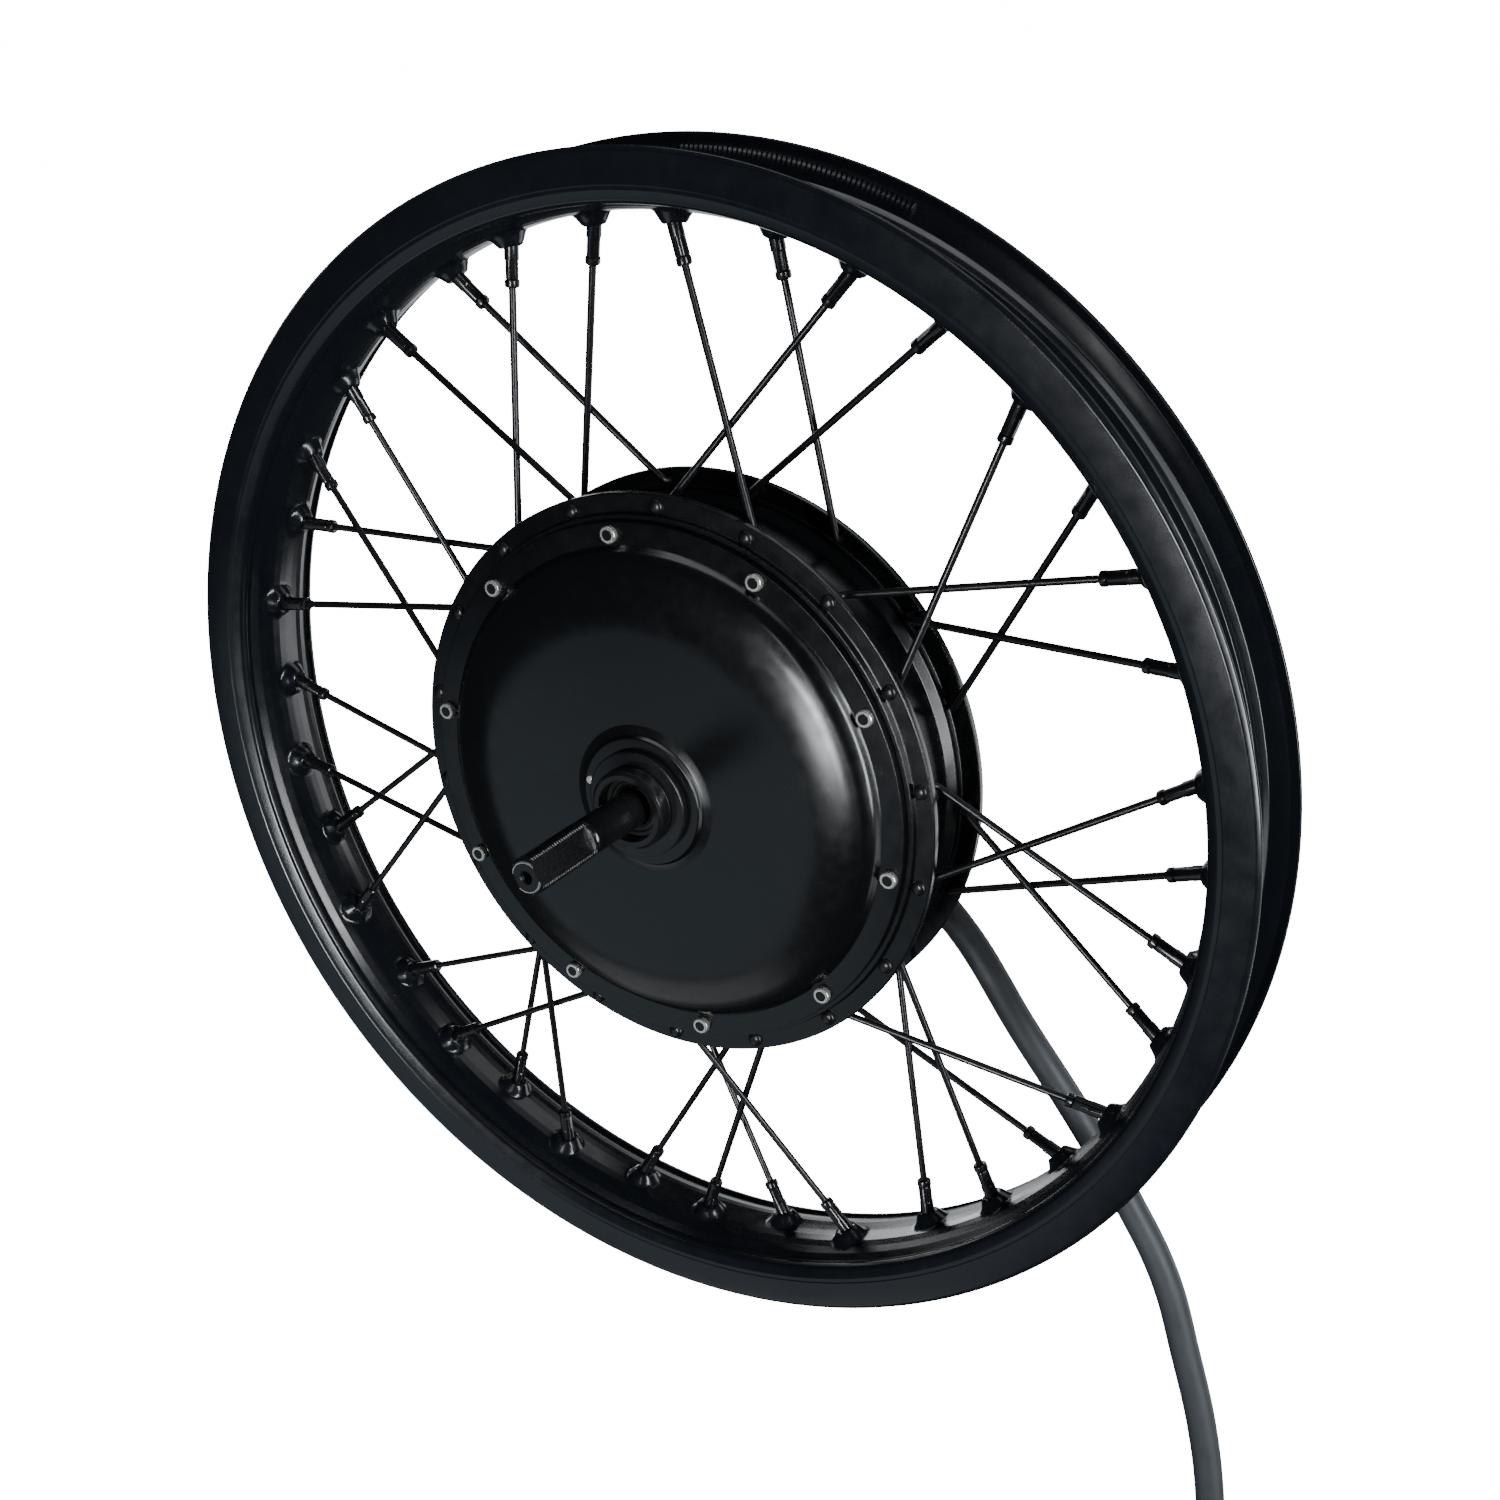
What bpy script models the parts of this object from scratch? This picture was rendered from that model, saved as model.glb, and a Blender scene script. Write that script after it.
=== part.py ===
"""Spoked hub motor wheel: 19 x 1.60 rim, 36 spokes, gearless hub motor and its cable.

The wheel's centre is the origin and the axle lies along Y. The drive (freewheel) side
faces -Y, the brake and cable side faces +Y. Angles in the wheel's plane are measured
from +X towards +Z. Sizes are in millimetres until they reach a mesh.
"""

import math

import bmesh
import bpy
from mathutils import Matrix, Vector

MM = 0.001
GAP = 0.3                    # clearance between neighbouring pieces

# Rim, 19 x 1.60 drop centre
RIM_R = 256.0
BEAD_SEAT_R = 242.0
RIM_HALF_WIDTH = 26.35
WELL_R = 229.0               # hub side of the well
RIM_SECTION = [              # radius and y of the +Y half, from the well's floor over the lip
    (WELL_R, 10.5),
    (231.0, 19.2),
    (234.0, 21.6),
    (239.5, RIM_HALF_WIDTH),
    (RIM_R - 1.2, RIM_HALF_WIDTH),
    (RIM_R, RIM_HALF_WIDTH - 2.2),
    (BEAD_SEAT_R, 20.0),
    (WELL_R + 4.0, 11.0),
]
HOLES = 36
HOLE_PITCH = 360.0 / HOLES
WHEEL_PHASE = 1.0            # angle of the first rim hole, degrees
VALVE_ANGLE = WHEEL_PHASE + 9.5 * HOLE_PITCH
VALVE_HOLE_R = 4.3

# Spokes and nipples
SPOKE_R = 1.5
SPOKE_CIRCLE_R = 120.0
LACE_ANGLE = 2 * HOLE_PITCH
RIM_HOLE_OFFSET = 3.0        # rim holes lie this far to their own flange's side
RIM_HOLE_SPLIT = 1.2
ELBOW_Y = 14.3
ELBOW_SPLIT = 1.9
ELBOW_RUN = 4.0
SPOKE_HEAD_R = 3.3
SPOKE_HEAD_H = 1.7
NIPPLE_R = 2.8
NIPPLE_INSIDE = 19.0         # nipple length on the hub side of the rim
NIPPLE_TAIL = 7.0            # nipple length beyond the well's floor
NIPPLE_HOLE_R = 3.4
SPOKE_HOLE_R = 2.4

# Hub shell
FLANGE_R = 125.0
FLANGE_OUT = 23.25
FLANGE_IN = 19.5
SHELL_END = 26.0
SHELL_STEP_R = 116.5
SHELL_STEP_IN = 15.7
DRUM_R = 113.0
SHELL_BORE_R = 104.5

# Covers
COVER_R = 114.5
COVER_FACE = 29.7            # outer face of the screwed ring
DOME_FOOT_R = 105.7
DOME_TOP_R = 84.0
DOME_FACE = 40.5
COVER_WALL = 3.6
SPIGOT_DEPTH = 3.0
COVER_PHASE = 28.5           # angle of a screw on both covers, degrees
COVER_AXLE_GAP = 1.8
BOSS_FOOT_R = 31.4
BOSS_R = 27.9
BOSS_FACE = 43.4
DISC_BOSS_R = 29.0
DISC_FACE = 49.0
DISC_BOLT_CIRCLE_R = 22.0
DISC_BOLT_R = 2.1
DISC_BOLT_DEPTH = 7.0

# Freewheel adapter, 1.375 in x 24 thread
ADAPTER_BORE_R = 13.5
THREAD_R = 17.4
ADAPTER_FLANGE_R = 23.1
ADAPTER_FLANGE_FACE = 46.9
ADAPTER_END = 54.5

# Axle
AXLE_END = 124.0
AXLE_THREAD_R = 8.0
AXLE_BODY_R = 15.0
DRIVE_SEAT_R = 12.5
COLLAR_R = 18.0
COLLAR_FACE = 20.3           # the stator carrier's stop
ROOT_END = 76.0              # thick stretch on the cable side ends here
FLAT_START = 88.0
FLAT_HALF = 5.3              # half of the distance across the flats
FLAT_ANGLE = 27.0            # direction that one flat faces
WIRE_WAY_R = 7.0             # hole in the axle's side that takes the cable
WIRE_BORE_R = 5.6
WIRE_MOUTH_R = 5.0
WIRE_MOUTH_Y = 12.0          # where the wires leave the axle inside the motor
CENTRE_HOLE_R = 2.4
CENTRE_HOLE_DEPTH = 4.0

# Bearings: inner radius, outer radius, start, end, ball radius, pitch radius
DRIVE_BEARING = (DRIVE_SEAT_R + GAP, 26.0, -38.7, -23.9, 3.9, 19.4)
BRAKE_BEARING = (AXLE_BODY_R + GAP, 31.0, 23.7, 39.7, 4.7, 23.2)
BALLS = 9

# Motor
SLOTS = 36
POLES = 32
CORE_HALF = 22.5
CORE_R = 95.8
CORE_BORE_R = 76.0
SLOT_FLOOR_R = 82.0
SLOT_WIDTH = 8.6
COIL_R = 93.0
COIL_END = 28.0
MAGNET_FACE_R = 96.7
YOKE_R = 99.6
MAGNET_FILL = 0.82           # share of a pole's pitch that its magnet covers
CARRIER_HALF = 20.0
CARRIER_HUB_R = 24.0
CARRIER_RING_R = 69.5
CARRIER_WEB = 6.0
WINDOWS = 5
WINDOW_R = 15.0
WINDOW_CIRCLE_R = 47.0
BOARD_INNER_R = 60.0         # sensor board
BOARD_OUTER_R = 73.5
BOARD_START = 205.0
BOARD_END = 275.0
BOARD_Y = -21.2
BOARD_HALF_THICK = 0.8

# Motor cable, its strain relief and its end
CABLE_R = 7.0
GLAND_ANGLE = -42.0
GLAND_Y = 63.0
GLAND_LENGTH = 40.0
GLAND_BASE_R = 10.5
GLAND_TIP_R = 8.6
CABLE_ROUTE = [              # x, y, z of the hanging cable's centre line
    (88.0, 74.0, -81.0),
    (131.0, 76.0, -137.0),
    (159.0, 76.0, -172.0),
    (187.5, 76.0, -212.0),
    (206.5, 75.0, -243.0),
    (221.0, 74.0, -282.5),
    (234.0, 73.0, -324.0),
    (242.0, 72.0, -364.0),
    (247.0, 72.0, -415.0),
    (249.0, 72.0, -472.0),
    (249.0, 72.0, -540.0),
    (249.0, 72.0, -604.0),
]
CABLE_STRAIGHT = 24.0        # stretch in line with the strain relief
CABLE_POINT_SPACING = 22.0
BREAKOUT_LENGTH = 40.0
BREAKOUT_R = 11.0
LEAD_R = 3.5
LEAD_CIRCLE_R = 6.3
LEAD_LENGTH = 62.0
LEAD_SPREAD = 12.0
TERMINAL_R = 7.0
TERMINAL_HOLE_R = 3.2
TERMINAL_THICK = 2.0
TERMINAL_BARREL = 14.0
SENSOR_LEAD_R = 2.3
SENSOR_LENGTH = 48.0
PLUG_SIZE = (15.0, 9.0, 26.0)

ROUND_72 = 72
ROUND_36 = 36
ROUND_24 = 24


def clear_scene():
    for thing in list(bpy.data.objects):
        bpy.data.objects.remove(thing, do_unlink=True)
    for group in list(bpy.data.collections):
        bpy.data.collections.remove(group)


def make_collection(name):
    group = bpy.data.collections.new(name)
    bpy.context.scene.collection.children.link(group)
    return group


clear_scene()
PARTS = make_collection("hub_motor_wheel")
CUTTERS = make_collection("cutters")
TO_Y = Matrix.Rotation(-math.pi / 2, 4, "X")     # a turned shape's Z becomes Y


# ---------------------------------------------------------------- materials

def material(name, color, roughness, metallic):
    made = bpy.data.materials.new(name)
    made.use_nodes = True
    shader = made.node_tree.nodes["Principled BSDF"]
    shader.inputs["Base Color"].default_value = (*color, 1.0)
    shader.inputs["Roughness"].default_value = roughness
    shader.inputs["Metallic"].default_value = metallic
    made.diffuse_color = (*color, 1.0)
    return made


BLACK_RIM = material("black_rim", (0.010, 0.011, 0.013), 0.32, 0.6)
BLACK_SHELL = material("black_shell", (0.011, 0.012, 0.014), 0.38, 0.5)
BLACK_COVER = material("black_cover", (0.012, 0.014, 0.016), 0.42, 0.4)
BLACK_STEEL = material("black_steel", (0.013, 0.013, 0.014), 0.30, 0.8)
BLACK_WIRE = material("black_wire", (0.012, 0.012, 0.013), 0.35, 0.6)
BEARING_STEEL = material("bearing_steel", (0.55, 0.56, 0.58), 0.22, 1.0)
CAGE_STEEL = material("cage_steel", (0.45, 0.45, 0.46), 0.35, 1.0)
CAST_ALUMINIUM = material("cast_aluminium", (0.60, 0.61, 0.62), 0.50, 1.0)
SILICON_STEEL = material("silicon_steel", (0.20, 0.21, 0.24), 0.45, 0.9)
COPPER = material("enamelled_copper", (0.62, 0.22, 0.09), 0.35, 0.9)
MAGNET = material("nickel_magnet", (0.48, 0.48, 0.47), 0.30, 1.0)
BOARD = material("green_board", (0.02, 0.16, 0.06), 0.45, 0.0)
RUBBER = material("black_rubber", (0.018, 0.019, 0.021), 0.75, 0.0)
YELLOW = material("yellow_silicone", (0.75, 0.52, 0.03), 0.55, 0.0)
GREEN = material("green_silicone", (0.03, 0.35, 0.10), 0.55, 0.0)
BLUE = material("blue_silicone", (0.03, 0.11, 0.52), 0.55, 0.0)
PLUG_PLASTIC = material("black_plug", (0.02, 0.02, 0.022), 0.50, 0.0)


# ---------------------------------------------------------------- helpers

def add_object(name, data, look, group=None):
    made = bpy.data.objects.new(name, data)
    (group or PARTS).objects.link(made)
    if look is not None and not data.materials:
        data.materials.append(look)
    return made


def polar(radius, angle, y):
    """Point at a radius and an angle (degrees) of the wheel's plane."""
    turn = math.radians(angle)
    return Vector((radius * math.cos(turn), y, radius * math.sin(turn)))


def turned(name, profile, look, steps=ROUND_36, phase=0.0, closed=True):
    """Turn a profile of (radius, y) about Y. It runs down its outer side, +Y to -Y."""
    mesh = bpy.data.meshes.new(name)
    points = [(r * MM, 0.0, y * MM) for r, y in profile]
    edges = [(i, i + 1) for i in range(len(points) - 1)]
    if closed:
        edges.append((len(points) - 1, 0))
    mesh.from_pydata(points, edges, [])
    made = add_object(name, mesh, look)
    made.matrix_world = TO_Y @ Matrix.Rotation(math.radians(-phase), 4, "Z")
    screw = made.modifiers.new("Screw", "SCREW")
    screw.steps = steps
    screw.render_steps = steps
    screw.use_merge_vertices = True
    screw.merge_threshold = 0.00001
    screw.use_smooth_shade = True
    return made


def cutter(name, build):
    """A hidden mesh of cutting shapes that the function build adds to a bmesh."""
    shape = bmesh.new()
    build(shape)
    mesh = bpy.data.meshes.new(name)
    shape.to_mesh(mesh)
    shape.free()
    made = add_object(name, mesh, None, CUTTERS)
    made.hide_render = True
    made.display_type = "WIRE"
    return made


def boolean(target, tool, operation="DIFFERENCE"):
    change = target.modifiers.new(tool.name, "BOOLEAN")
    change.operation = operation
    change.solver = "EXACT"
    change.object = tool
    return change


def rod(shape, start, end, radius, sides=6, end_radius=None):
    """Add a cylinder or cone between two points, in millimetres, to a bmesh."""
    start, end = Vector(start) * MM, Vector(end) * MM
    run = end - start
    place = Matrix.Translation((start + end) / 2) @ run.to_track_quat("Z", "Y").to_matrix().to_4x4()
    bmesh.ops.create_cone(
        shape,
        cap_ends=True,
        segments=sides,
        radius1=radius * MM,
        radius2=(radius if end_radius is None else end_radius) * MM,
        depth=run.length,
        matrix=place,
    )


def block(shape, centre, size, angle=0.0):
    """Add a box to a bmesh, turned by an angle (degrees) in the wheel's plane."""
    place = (
        Matrix.Translation(Vector(centre) * MM)
        @ Matrix.Rotation(math.radians(-angle), 4, "Y")
        @ Matrix.Diagonal((size[0] * MM, size[1] * MM, size[2] * MM, 1.0))
    )
    bmesh.ops.create_cube(shape, size=1.0, matrix=place)


def tube_curve(name, points, radius, resolution=2, radii=None):
    """A POLY tube with filled caps through points in millimetres."""
    curve = bpy.data.curves.new(name, "CURVE")
    curve.dimensions = "3D"
    curve.bevel_depth = radius * MM
    curve.bevel_resolution = resolution
    curve.use_fill_caps = True
    spline = curve.splines.new("POLY")
    spline.points.add(len(points) - 1)
    for index, point in enumerate(points):
        spline.points[index].co = (*(Vector(point) * MM), 1.0)
        if radii:
            spline.points[index].radius = radii[index] / radius
    return curve


def outline_curve(name, loops, half_thickness):
    """A flat plate from closed outlines of (u, v) in millimetres; later loops are holes."""
    curve = bpy.data.curves.new(name, "CURVE")
    curve.dimensions = "2D"
    curve.fill_mode = "BOTH"
    curve.extrude = half_thickness * MM
    for loop in loops:
        spline = curve.splines.new("POLY")
        spline.points.add(len(loop) - 1)
        for index, (u, v) in enumerate(loop):
            spline.points[index].co = (u * MM, v * MM, 0.0, 1.0)
        spline.use_cyclic_u = True
    return curve


def curve_to_mesh(curve_object):
    """Replace a curve object by a welded mesh object of the same name and place."""
    graph = bpy.context.evaluated_depsgraph_get()
    mesh = bpy.data.meshes.new_from_object(curve_object.evaluated_get(graph))
    shape = bmesh.new()
    shape.from_mesh(mesh)
    bmesh.ops.remove_doubles(shape, verts=shape.verts, dist=0.00002)
    bmesh.ops.recalc_face_normals(shape, faces=shape.faces)
    shape.to_mesh(mesh)
    shape.free()
    name = curve_object.name
    place = curve_object.matrix_world.copy()
    look = curve_object.data.materials[0]
    bpy.data.objects.remove(curve_object, do_unlink=True)
    made = add_object(name, mesh, look)
    made.name = name
    made.matrix_world = place
    return made


def arc(centre, radius, start, end, count):
    """Evenly spaced points of a flat arc; angles in degrees."""
    step = (end - start) / (count - 1)
    return [
        (
            centre[0] + radius * math.cos(math.radians(start + step * i)),
            centre[1] + radius * math.sin(math.radians(start + step * i)),
        )
        for i in range(count)
    ]


def circle(radius, count, phase=0.0):
    return [
        (
            radius * math.cos(2 * math.pi * i / count + phase),
            radius * math.sin(2 * math.pi * i / count + phase),
        )
        for i in range(count)
    ]


def mirrored_profile(half):
    """Close a profile whose half runs from the +Y end to the middle of the outer side."""
    return half + [(r, -y) for r, y in reversed(half)]


# ---------------------------------------------------------------- lacing

def lacing():
    """Yield side (-1 drive, 1 brake), rim angle, hub angle and split of every spoke."""
    for index in range(HOLES):
        rim_angle = WHEEL_PHASE + index * HOLE_PITCH
        side = -1 if index % 2 else 1
        leading = index % 4 in (0, 1)
        hub_angle = rim_angle + (-LACE_ANGLE if leading else LACE_ANGLE)
        yield side, rim_angle, hub_angle, (1 if leading else -1)


def spoke_line(side, rim_angle, hub_angle, split):
    """Where a spoke's straight stretch starts, and where it meets the rim's well."""
    hole = polar(SPOKE_CIRCLE_R, hub_angle, 0.0)
    seat = polar(WELL_R, rim_angle, side * (RIM_HOLE_OFFSET + split * RIM_HOLE_SPLIT))
    start_y = side * (ELBOW_Y + split * ELBOW_SPLIT)
    away = Vector((seat.x - hole.x, 0.0, seat.z - hole.z)).normalized()
    start = Vector((hole.x, start_y, hole.z)) + away * ELBOW_RUN
    return hole, start, seat


# ---------------------------------------------------------------- rim

def make_rim():
    profile = [(r, -y) for r, y in reversed(RIM_SECTION)] + RIM_SECTION
    rim = turned("rim", profile, BLACK_RIM, ROUND_72, WHEEL_PHASE - 2.5)

    def holes(shape):
        for side, rim_angle, hub_angle, split in lacing():
            _, start, seat = spoke_line(side, rim_angle, hub_angle, split)
            along = (seat - start).normalized()
            rod(shape, seat - along * 6.0, seat + along * (NIPPLE_TAIL + 2.0), NIPPLE_HOLE_R)
        rod(
            shape,
            polar(WELL_R - 6.0, VALVE_ANGLE, 0.0),
            polar(WELL_R + 10.0, VALVE_ANGLE, 0.0),
            VALVE_HOLE_R,
            10,
        )

    boolean(rim, cutter("rim_holes", holes))


# ---------------------------------------------------------------- spokes

def spoke_path(side, rim_angle, hub_angle, split):
    hole, start, seat = spoke_line(side, rim_angle, hub_angle, split)
    along = (seat - start).normalized()
    head_y = FLANGE_OUT + GAP
    through = Vector((hole.x, side * (abs(start.y) + ELBOW_RUN * 0.45), hole.z))
    points = [
        Vector((hole.x, side * (head_y + SPOKE_HEAD_H), hole.z)),
        Vector((hole.x, side * head_y, hole.z)),
        Vector((hole.x, side * (head_y - 0.05), hole.z)),
        through,
        start,
        seat - along * (NIPPLE_INSIDE + 1.5),
        seat - along * NIPPLE_INSIDE,
        seat + along * NIPPLE_TAIL,
    ]
    radii = [
        SPOKE_HEAD_R * 0.62,
        SPOKE_HEAD_R,
        SPOKE_R,
        SPOKE_R * 1.1,
        SPOKE_R * 1.05,
        SPOKE_R,
        NIPPLE_R,
        NIPPLE_R,
    ]
    return points, radii


def make_spokes():
    """Four spoke shapes, each used nine times round the wheel."""
    shapes = {}
    counts = {-1: 0, 1: 0}
    for index, (side, rim_angle, hub_angle, split) in enumerate(lacing()):
        key = (side, split)
        if key not in shapes:
            points, radii = spoke_path(side, rim_angle, hub_angle, split)
            shapes[key] = (rim_angle, tube_curve("spoke", points, SPOKE_R, 1, radii))
        first_angle, curve = shapes[key]
        counts[side] += 1
        name = f"{'brake' if side > 0 else 'drive'}_spoke_{counts[side]:02d}"
        made = add_object(name, curve, BLACK_WIRE)
        made.rotation_euler = (0.0, math.radians(first_angle - rim_angle), 0.0)


# ---------------------------------------------------------------- hub shell and covers

def make_hub_shell():
    half = [
        (SHELL_BORE_R, SHELL_END),
        (SHELL_STEP_R, SHELL_END),
        (SHELL_STEP_R, FLANGE_OUT),
        (FLANGE_R, FLANGE_OUT),
        (FLANGE_R, FLANGE_IN),
        (SHELL_STEP_R, FLANGE_IN),
        (SHELL_STEP_R, SHELL_STEP_IN),
        (DRUM_R, SHELL_STEP_IN - 1.6),
    ]
    shell = turned(
        "hub_shell", mirrored_profile(half), BLACK_SHELL, ROUND_36, WHEEL_PHASE - 5.0
    )

    def holes(shape):
        for side, _, hub_angle, _ in lacing():
            rod(
                shape,
                polar(SPOKE_CIRCLE_R, hub_angle, side * (FLANGE_IN - 3.0)),
                polar(SPOKE_CIRCLE_R, hub_angle, side * (FLANGE_OUT + 3.0)),
                SPOKE_HOLE_R,
            )

    boolean(shell, cutter("spoke_holes", holes))


def dome_outside():
    """Outer dome from the boss's foot out to the ring's edge, for the +Y cover."""
    drop = DOME_FACE - COVER_FACE - 1.2
    shoulder = [
        (
            DOME_TOP_R + (DOME_FOOT_R - 1.4 - DOME_TOP_R) * math.sin(math.radians(turn)),
            COVER_FACE + 1.2 + (drop - 0.5) * math.cos(math.radians(turn)),
        )
        for turn in (0, 35, 65, 90)
    ]
    return [(60.0, DOME_FACE)] + shoulder + [
        (DOME_FOOT_R, COVER_FACE),
        (COVER_R, COVER_FACE),
        (COVER_R, SHELL_END + GAP),
    ]


def dome_inside(seat_outer_r, seat_inner_y):
    """Inner side from the shell's face back to the bearing housing, for the +Y cover."""
    spigot_r = SHELL_BORE_R - 0.4
    inner_face = DOME_FACE - COVER_WALL
    return [
        (spigot_r, SHELL_END + GAP),
        (spigot_r, SHELL_END - SPIGOT_DEPTH),
        (spigot_r - 4.0, SHELL_END - SPIGOT_DEPTH),
        (spigot_r - 4.0, COVER_FACE - 2.0),
        (DOME_TOP_R - 2.0, inner_face - 0.8),
        (seat_outer_r + 6.0, inner_face),
        (seat_outer_r + 5.0, seat_inner_y),
    ]


def make_drive_cover():
    _, bearing_r, outer_face, inner_face, _, _ = DRIVE_BEARING
    seat_r = bearing_r + GAP
    bore_r = THREAD_R + GAP
    shoulder_y = -outer_face + GAP
    seat_inner_y = -inner_face - 0.5
    plus = (
        [(bore_r, BOSS_FACE), (BOSS_R, BOSS_FACE)]
        + [(BOSS_R + 0.8, DOME_FACE + 1.0), (BOSS_FOOT_R, DOME_FACE)]
        + dome_outside()
        + dome_inside(seat_r, seat_inner_y)
        + [(seat_r, seat_inner_y), (seat_r, shoulder_y), (bore_r, shoulder_y)]
    )
    profile = [(r, -y) for r, y in reversed(plus)]
    turned("drive_cover", profile, BLACK_COVER, ROUND_36, COVER_PHASE)


def make_brake_cover():
    _, bearing_r, inner_face, outer_face, _, _ = BRAKE_BEARING
    seat_r = bearing_r + GAP
    bore_r = AXLE_BODY_R + COVER_AXLE_GAP
    shoulder_y = outer_face + GAP
    seat_inner_y = inner_face - 0.2
    profile = (
        [(bore_r, DISC_FACE), (DISC_BOSS_R, DISC_FACE)]
        + [(DISC_BOSS_R, DOME_FACE + 4.0), (DISC_BOSS_R + 9.0, DOME_FACE)]
        + dome_outside()
        + dome_inside(seat_r, seat_inner_y)
        + [(seat_r, seat_inner_y), (seat_r, shoulder_y), (bore_r, shoulder_y)]
    )
    cover = turned("brake_cover", profile, BLACK_COVER, ROUND_36, COVER_PHASE)

    def holes(shape):
        for index in range(6):
            angle = 60.0 * index + 30.0
            rod(
                shape,
                polar(DISC_BOLT_CIRCLE_R, angle, DISC_FACE - DISC_BOLT_DEPTH),
                polar(DISC_BOLT_CIRCLE_R, angle, DISC_FACE + 3.0),
                DISC_BOLT_R,
                8,
            )

    boolean(cover, cutter("disc_bolt_holes", holes))


def make_freewheel_adapter():
    inner_end = DRIVE_BEARING[2] - GAP
    profile = [
        (ADAPTER_BORE_R, inner_end - 0.2),
        (THREAD_R, inner_end - 0.2),
        (THREAD_R, -BOSS_FACE - GAP),
        (ADAPTER_FLANGE_R, -BOSS_FACE - GAP),
        (ADAPTER_FLANGE_R, -ADAPTER_FLANGE_FACE),
        (THREAD_R, -ADAPTER_FLANGE_FACE),
        (THREAD_R, -ADAPTER_END + 1.4),
        (THREAD_R - 1.4, -ADAPTER_END),
        (ADAPTER_BORE_R, -ADAPTER_END),
    ]
    turned("freewheel_adapter", profile, BLACK_STEEL, ROUND_24)


# ---------------------------------------------------------------- axle

def gland_direction():
    return polar(1.0, GLAND_ANGLE, 0.0)


def gland_point(radius):
    """Point of the strain relief's axis at a distance from the axle's axis."""
    return polar(radius, GLAND_ANGLE, GLAND_Y)


def make_axle():
    chamfer = 1.5
    profile = [
        (0.0, AXLE_END),
        (AXLE_THREAD_R - chamfer, AXLE_END),
        (AXLE_THREAD_R, AXLE_END - chamfer),
        (AXLE_THREAD_R, ROOT_END),
        (AXLE_BODY_R - 1.2, ROOT_END),
        (AXLE_BODY_R, ROOT_END - 1.2),
        (AXLE_BODY_R, BRAKE_BEARING[2] - GAP),
        (COLLAR_R, BRAKE_BEARING[2] - GAP),
        (COLLAR_R, COLLAR_FACE),
        (AXLE_BODY_R, COLLAR_FACE),
        (AXLE_BODY_R, DRIVE_BEARING[3] + GAP),
        (DRIVE_SEAT_R, DRIVE_BEARING[3] + GAP),
        (DRIVE_SEAT_R, DRIVE_BEARING[2] - 0.5),
        (AXLE_THREAD_R, DRIVE_BEARING[2] - 1.5),
        (AXLE_THREAD_R, -AXLE_END + chamfer),
        (AXLE_THREAD_R - chamfer, -AXLE_END),
        (0.0, -AXLE_END),
    ]
    axle = turned("axle", profile, BLACK_STEEL, ROUND_24, FLAT_ANGLE, closed=False)

    def flats(shape):
        length = AXLE_END - FLAT_START + 4.0
        for side in (-1, 1):
            for turn in (0.0, 180.0):
                angle = FLAT_ANGLE + turn
                centre = polar(FLAT_HALF + 5.0, angle, side * (FLAT_START + length / 2))
                block(shape, centre, (10.0, length, 24.0), angle)

    def centre_holes(shape):
        for side in (-1, 1):
            rod(
                shape,
                (0.0, side * (AXLE_END + 1.0), 0.0),
                (0.0, side * (AXLE_END - CENTRE_HOLE_DEPTH), 0.0),
                CENTRE_HOLE_R,
                8,
                0.4,
            )

    def wire_way(shape):
        rod(shape, gland_point(0.0), gland_point(26.0), WIRE_WAY_R, 12)

    def wire_bore(shape):
        rod(shape, (0.0, WIRE_MOUTH_Y - 4.0, 0.0), (0.0, GLAND_Y + 2.0, 0.0), WIRE_BORE_R, 12)

    def wire_mouth(shape):
        rod(shape, (0.0, WIRE_MOUTH_Y, 0.0), (0.0, WIRE_MOUTH_Y, -24.0), WIRE_MOUTH_R, 12)

    boolean(axle, cutter("axle_flats", flats))
    boolean(axle, cutter("axle_centres", centre_holes))
    boolean(axle, cutter("wire_way", wire_way))
    boolean(axle, cutter("wire_bore", wire_bore))
    boolean(axle, cutter("wire_mouth", wire_mouth))


# ---------------------------------------------------------------- bearings

def make_bearing(side_name, sizes):
    inner_r, outer_r, start, end, ball_r, pitch_r = sizes
    middle = (start + end) / 2
    groove = ball_r * 1.12 + GAP     # the grooves are chords, so they stand off a little
    gap_half = ball_r * 0.62
    groove_angle = math.degrees(math.acos(gap_half / groove))
    inner_wall = pitch_r - gap_half
    outer_wall = pitch_r + gap_half
    inner_groove = arc((pitch_r, middle), groove, 180 - groove_angle, 180 + groove_angle, 3)
    outer_groove = arc((pitch_r, middle), groove, -groove_angle, groove_angle, 3)
    turned(
        f"{side_name}_bearing_inner_race",
        [(inner_r, end), (inner_wall, end)] + inner_groove + [(inner_wall, start), (inner_r, start)],
        BEARING_STEEL,
        ROUND_24,
    )
    turned(
        f"{side_name}_bearing_outer_race",
        [(outer_wall, end), (outer_r, end), (outer_r, start), (outer_wall, start)] + outer_groove,
        BEARING_STEEL,
        ROUND_24,
    )
    half = ball_r * 0.55
    cage = turned(
        f"{side_name}_bearing_cage",
        [
            (pitch_r - 0.8, middle + half),
            (pitch_r + 0.8, middle + half),
            (pitch_r + 0.8, middle - half),
            (pitch_r - 0.8, middle - half),
        ],
        CAGE_STEEL,
        2 * BALLS,
    )

    def balls(shape):
        for index in range(BALLS):
            place = Matrix.Translation(polar(pitch_r, 360.0 / BALLS * index, middle) * MM)
            bmesh.ops.create_uvsphere(
                shape, u_segments=6, v_segments=4, radius=ball_r * MM, matrix=place
            )

    boolean(cage, cutter(f"{side_name}_balls", balls), "UNION")


# ---------------------------------------------------------------- motor

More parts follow.
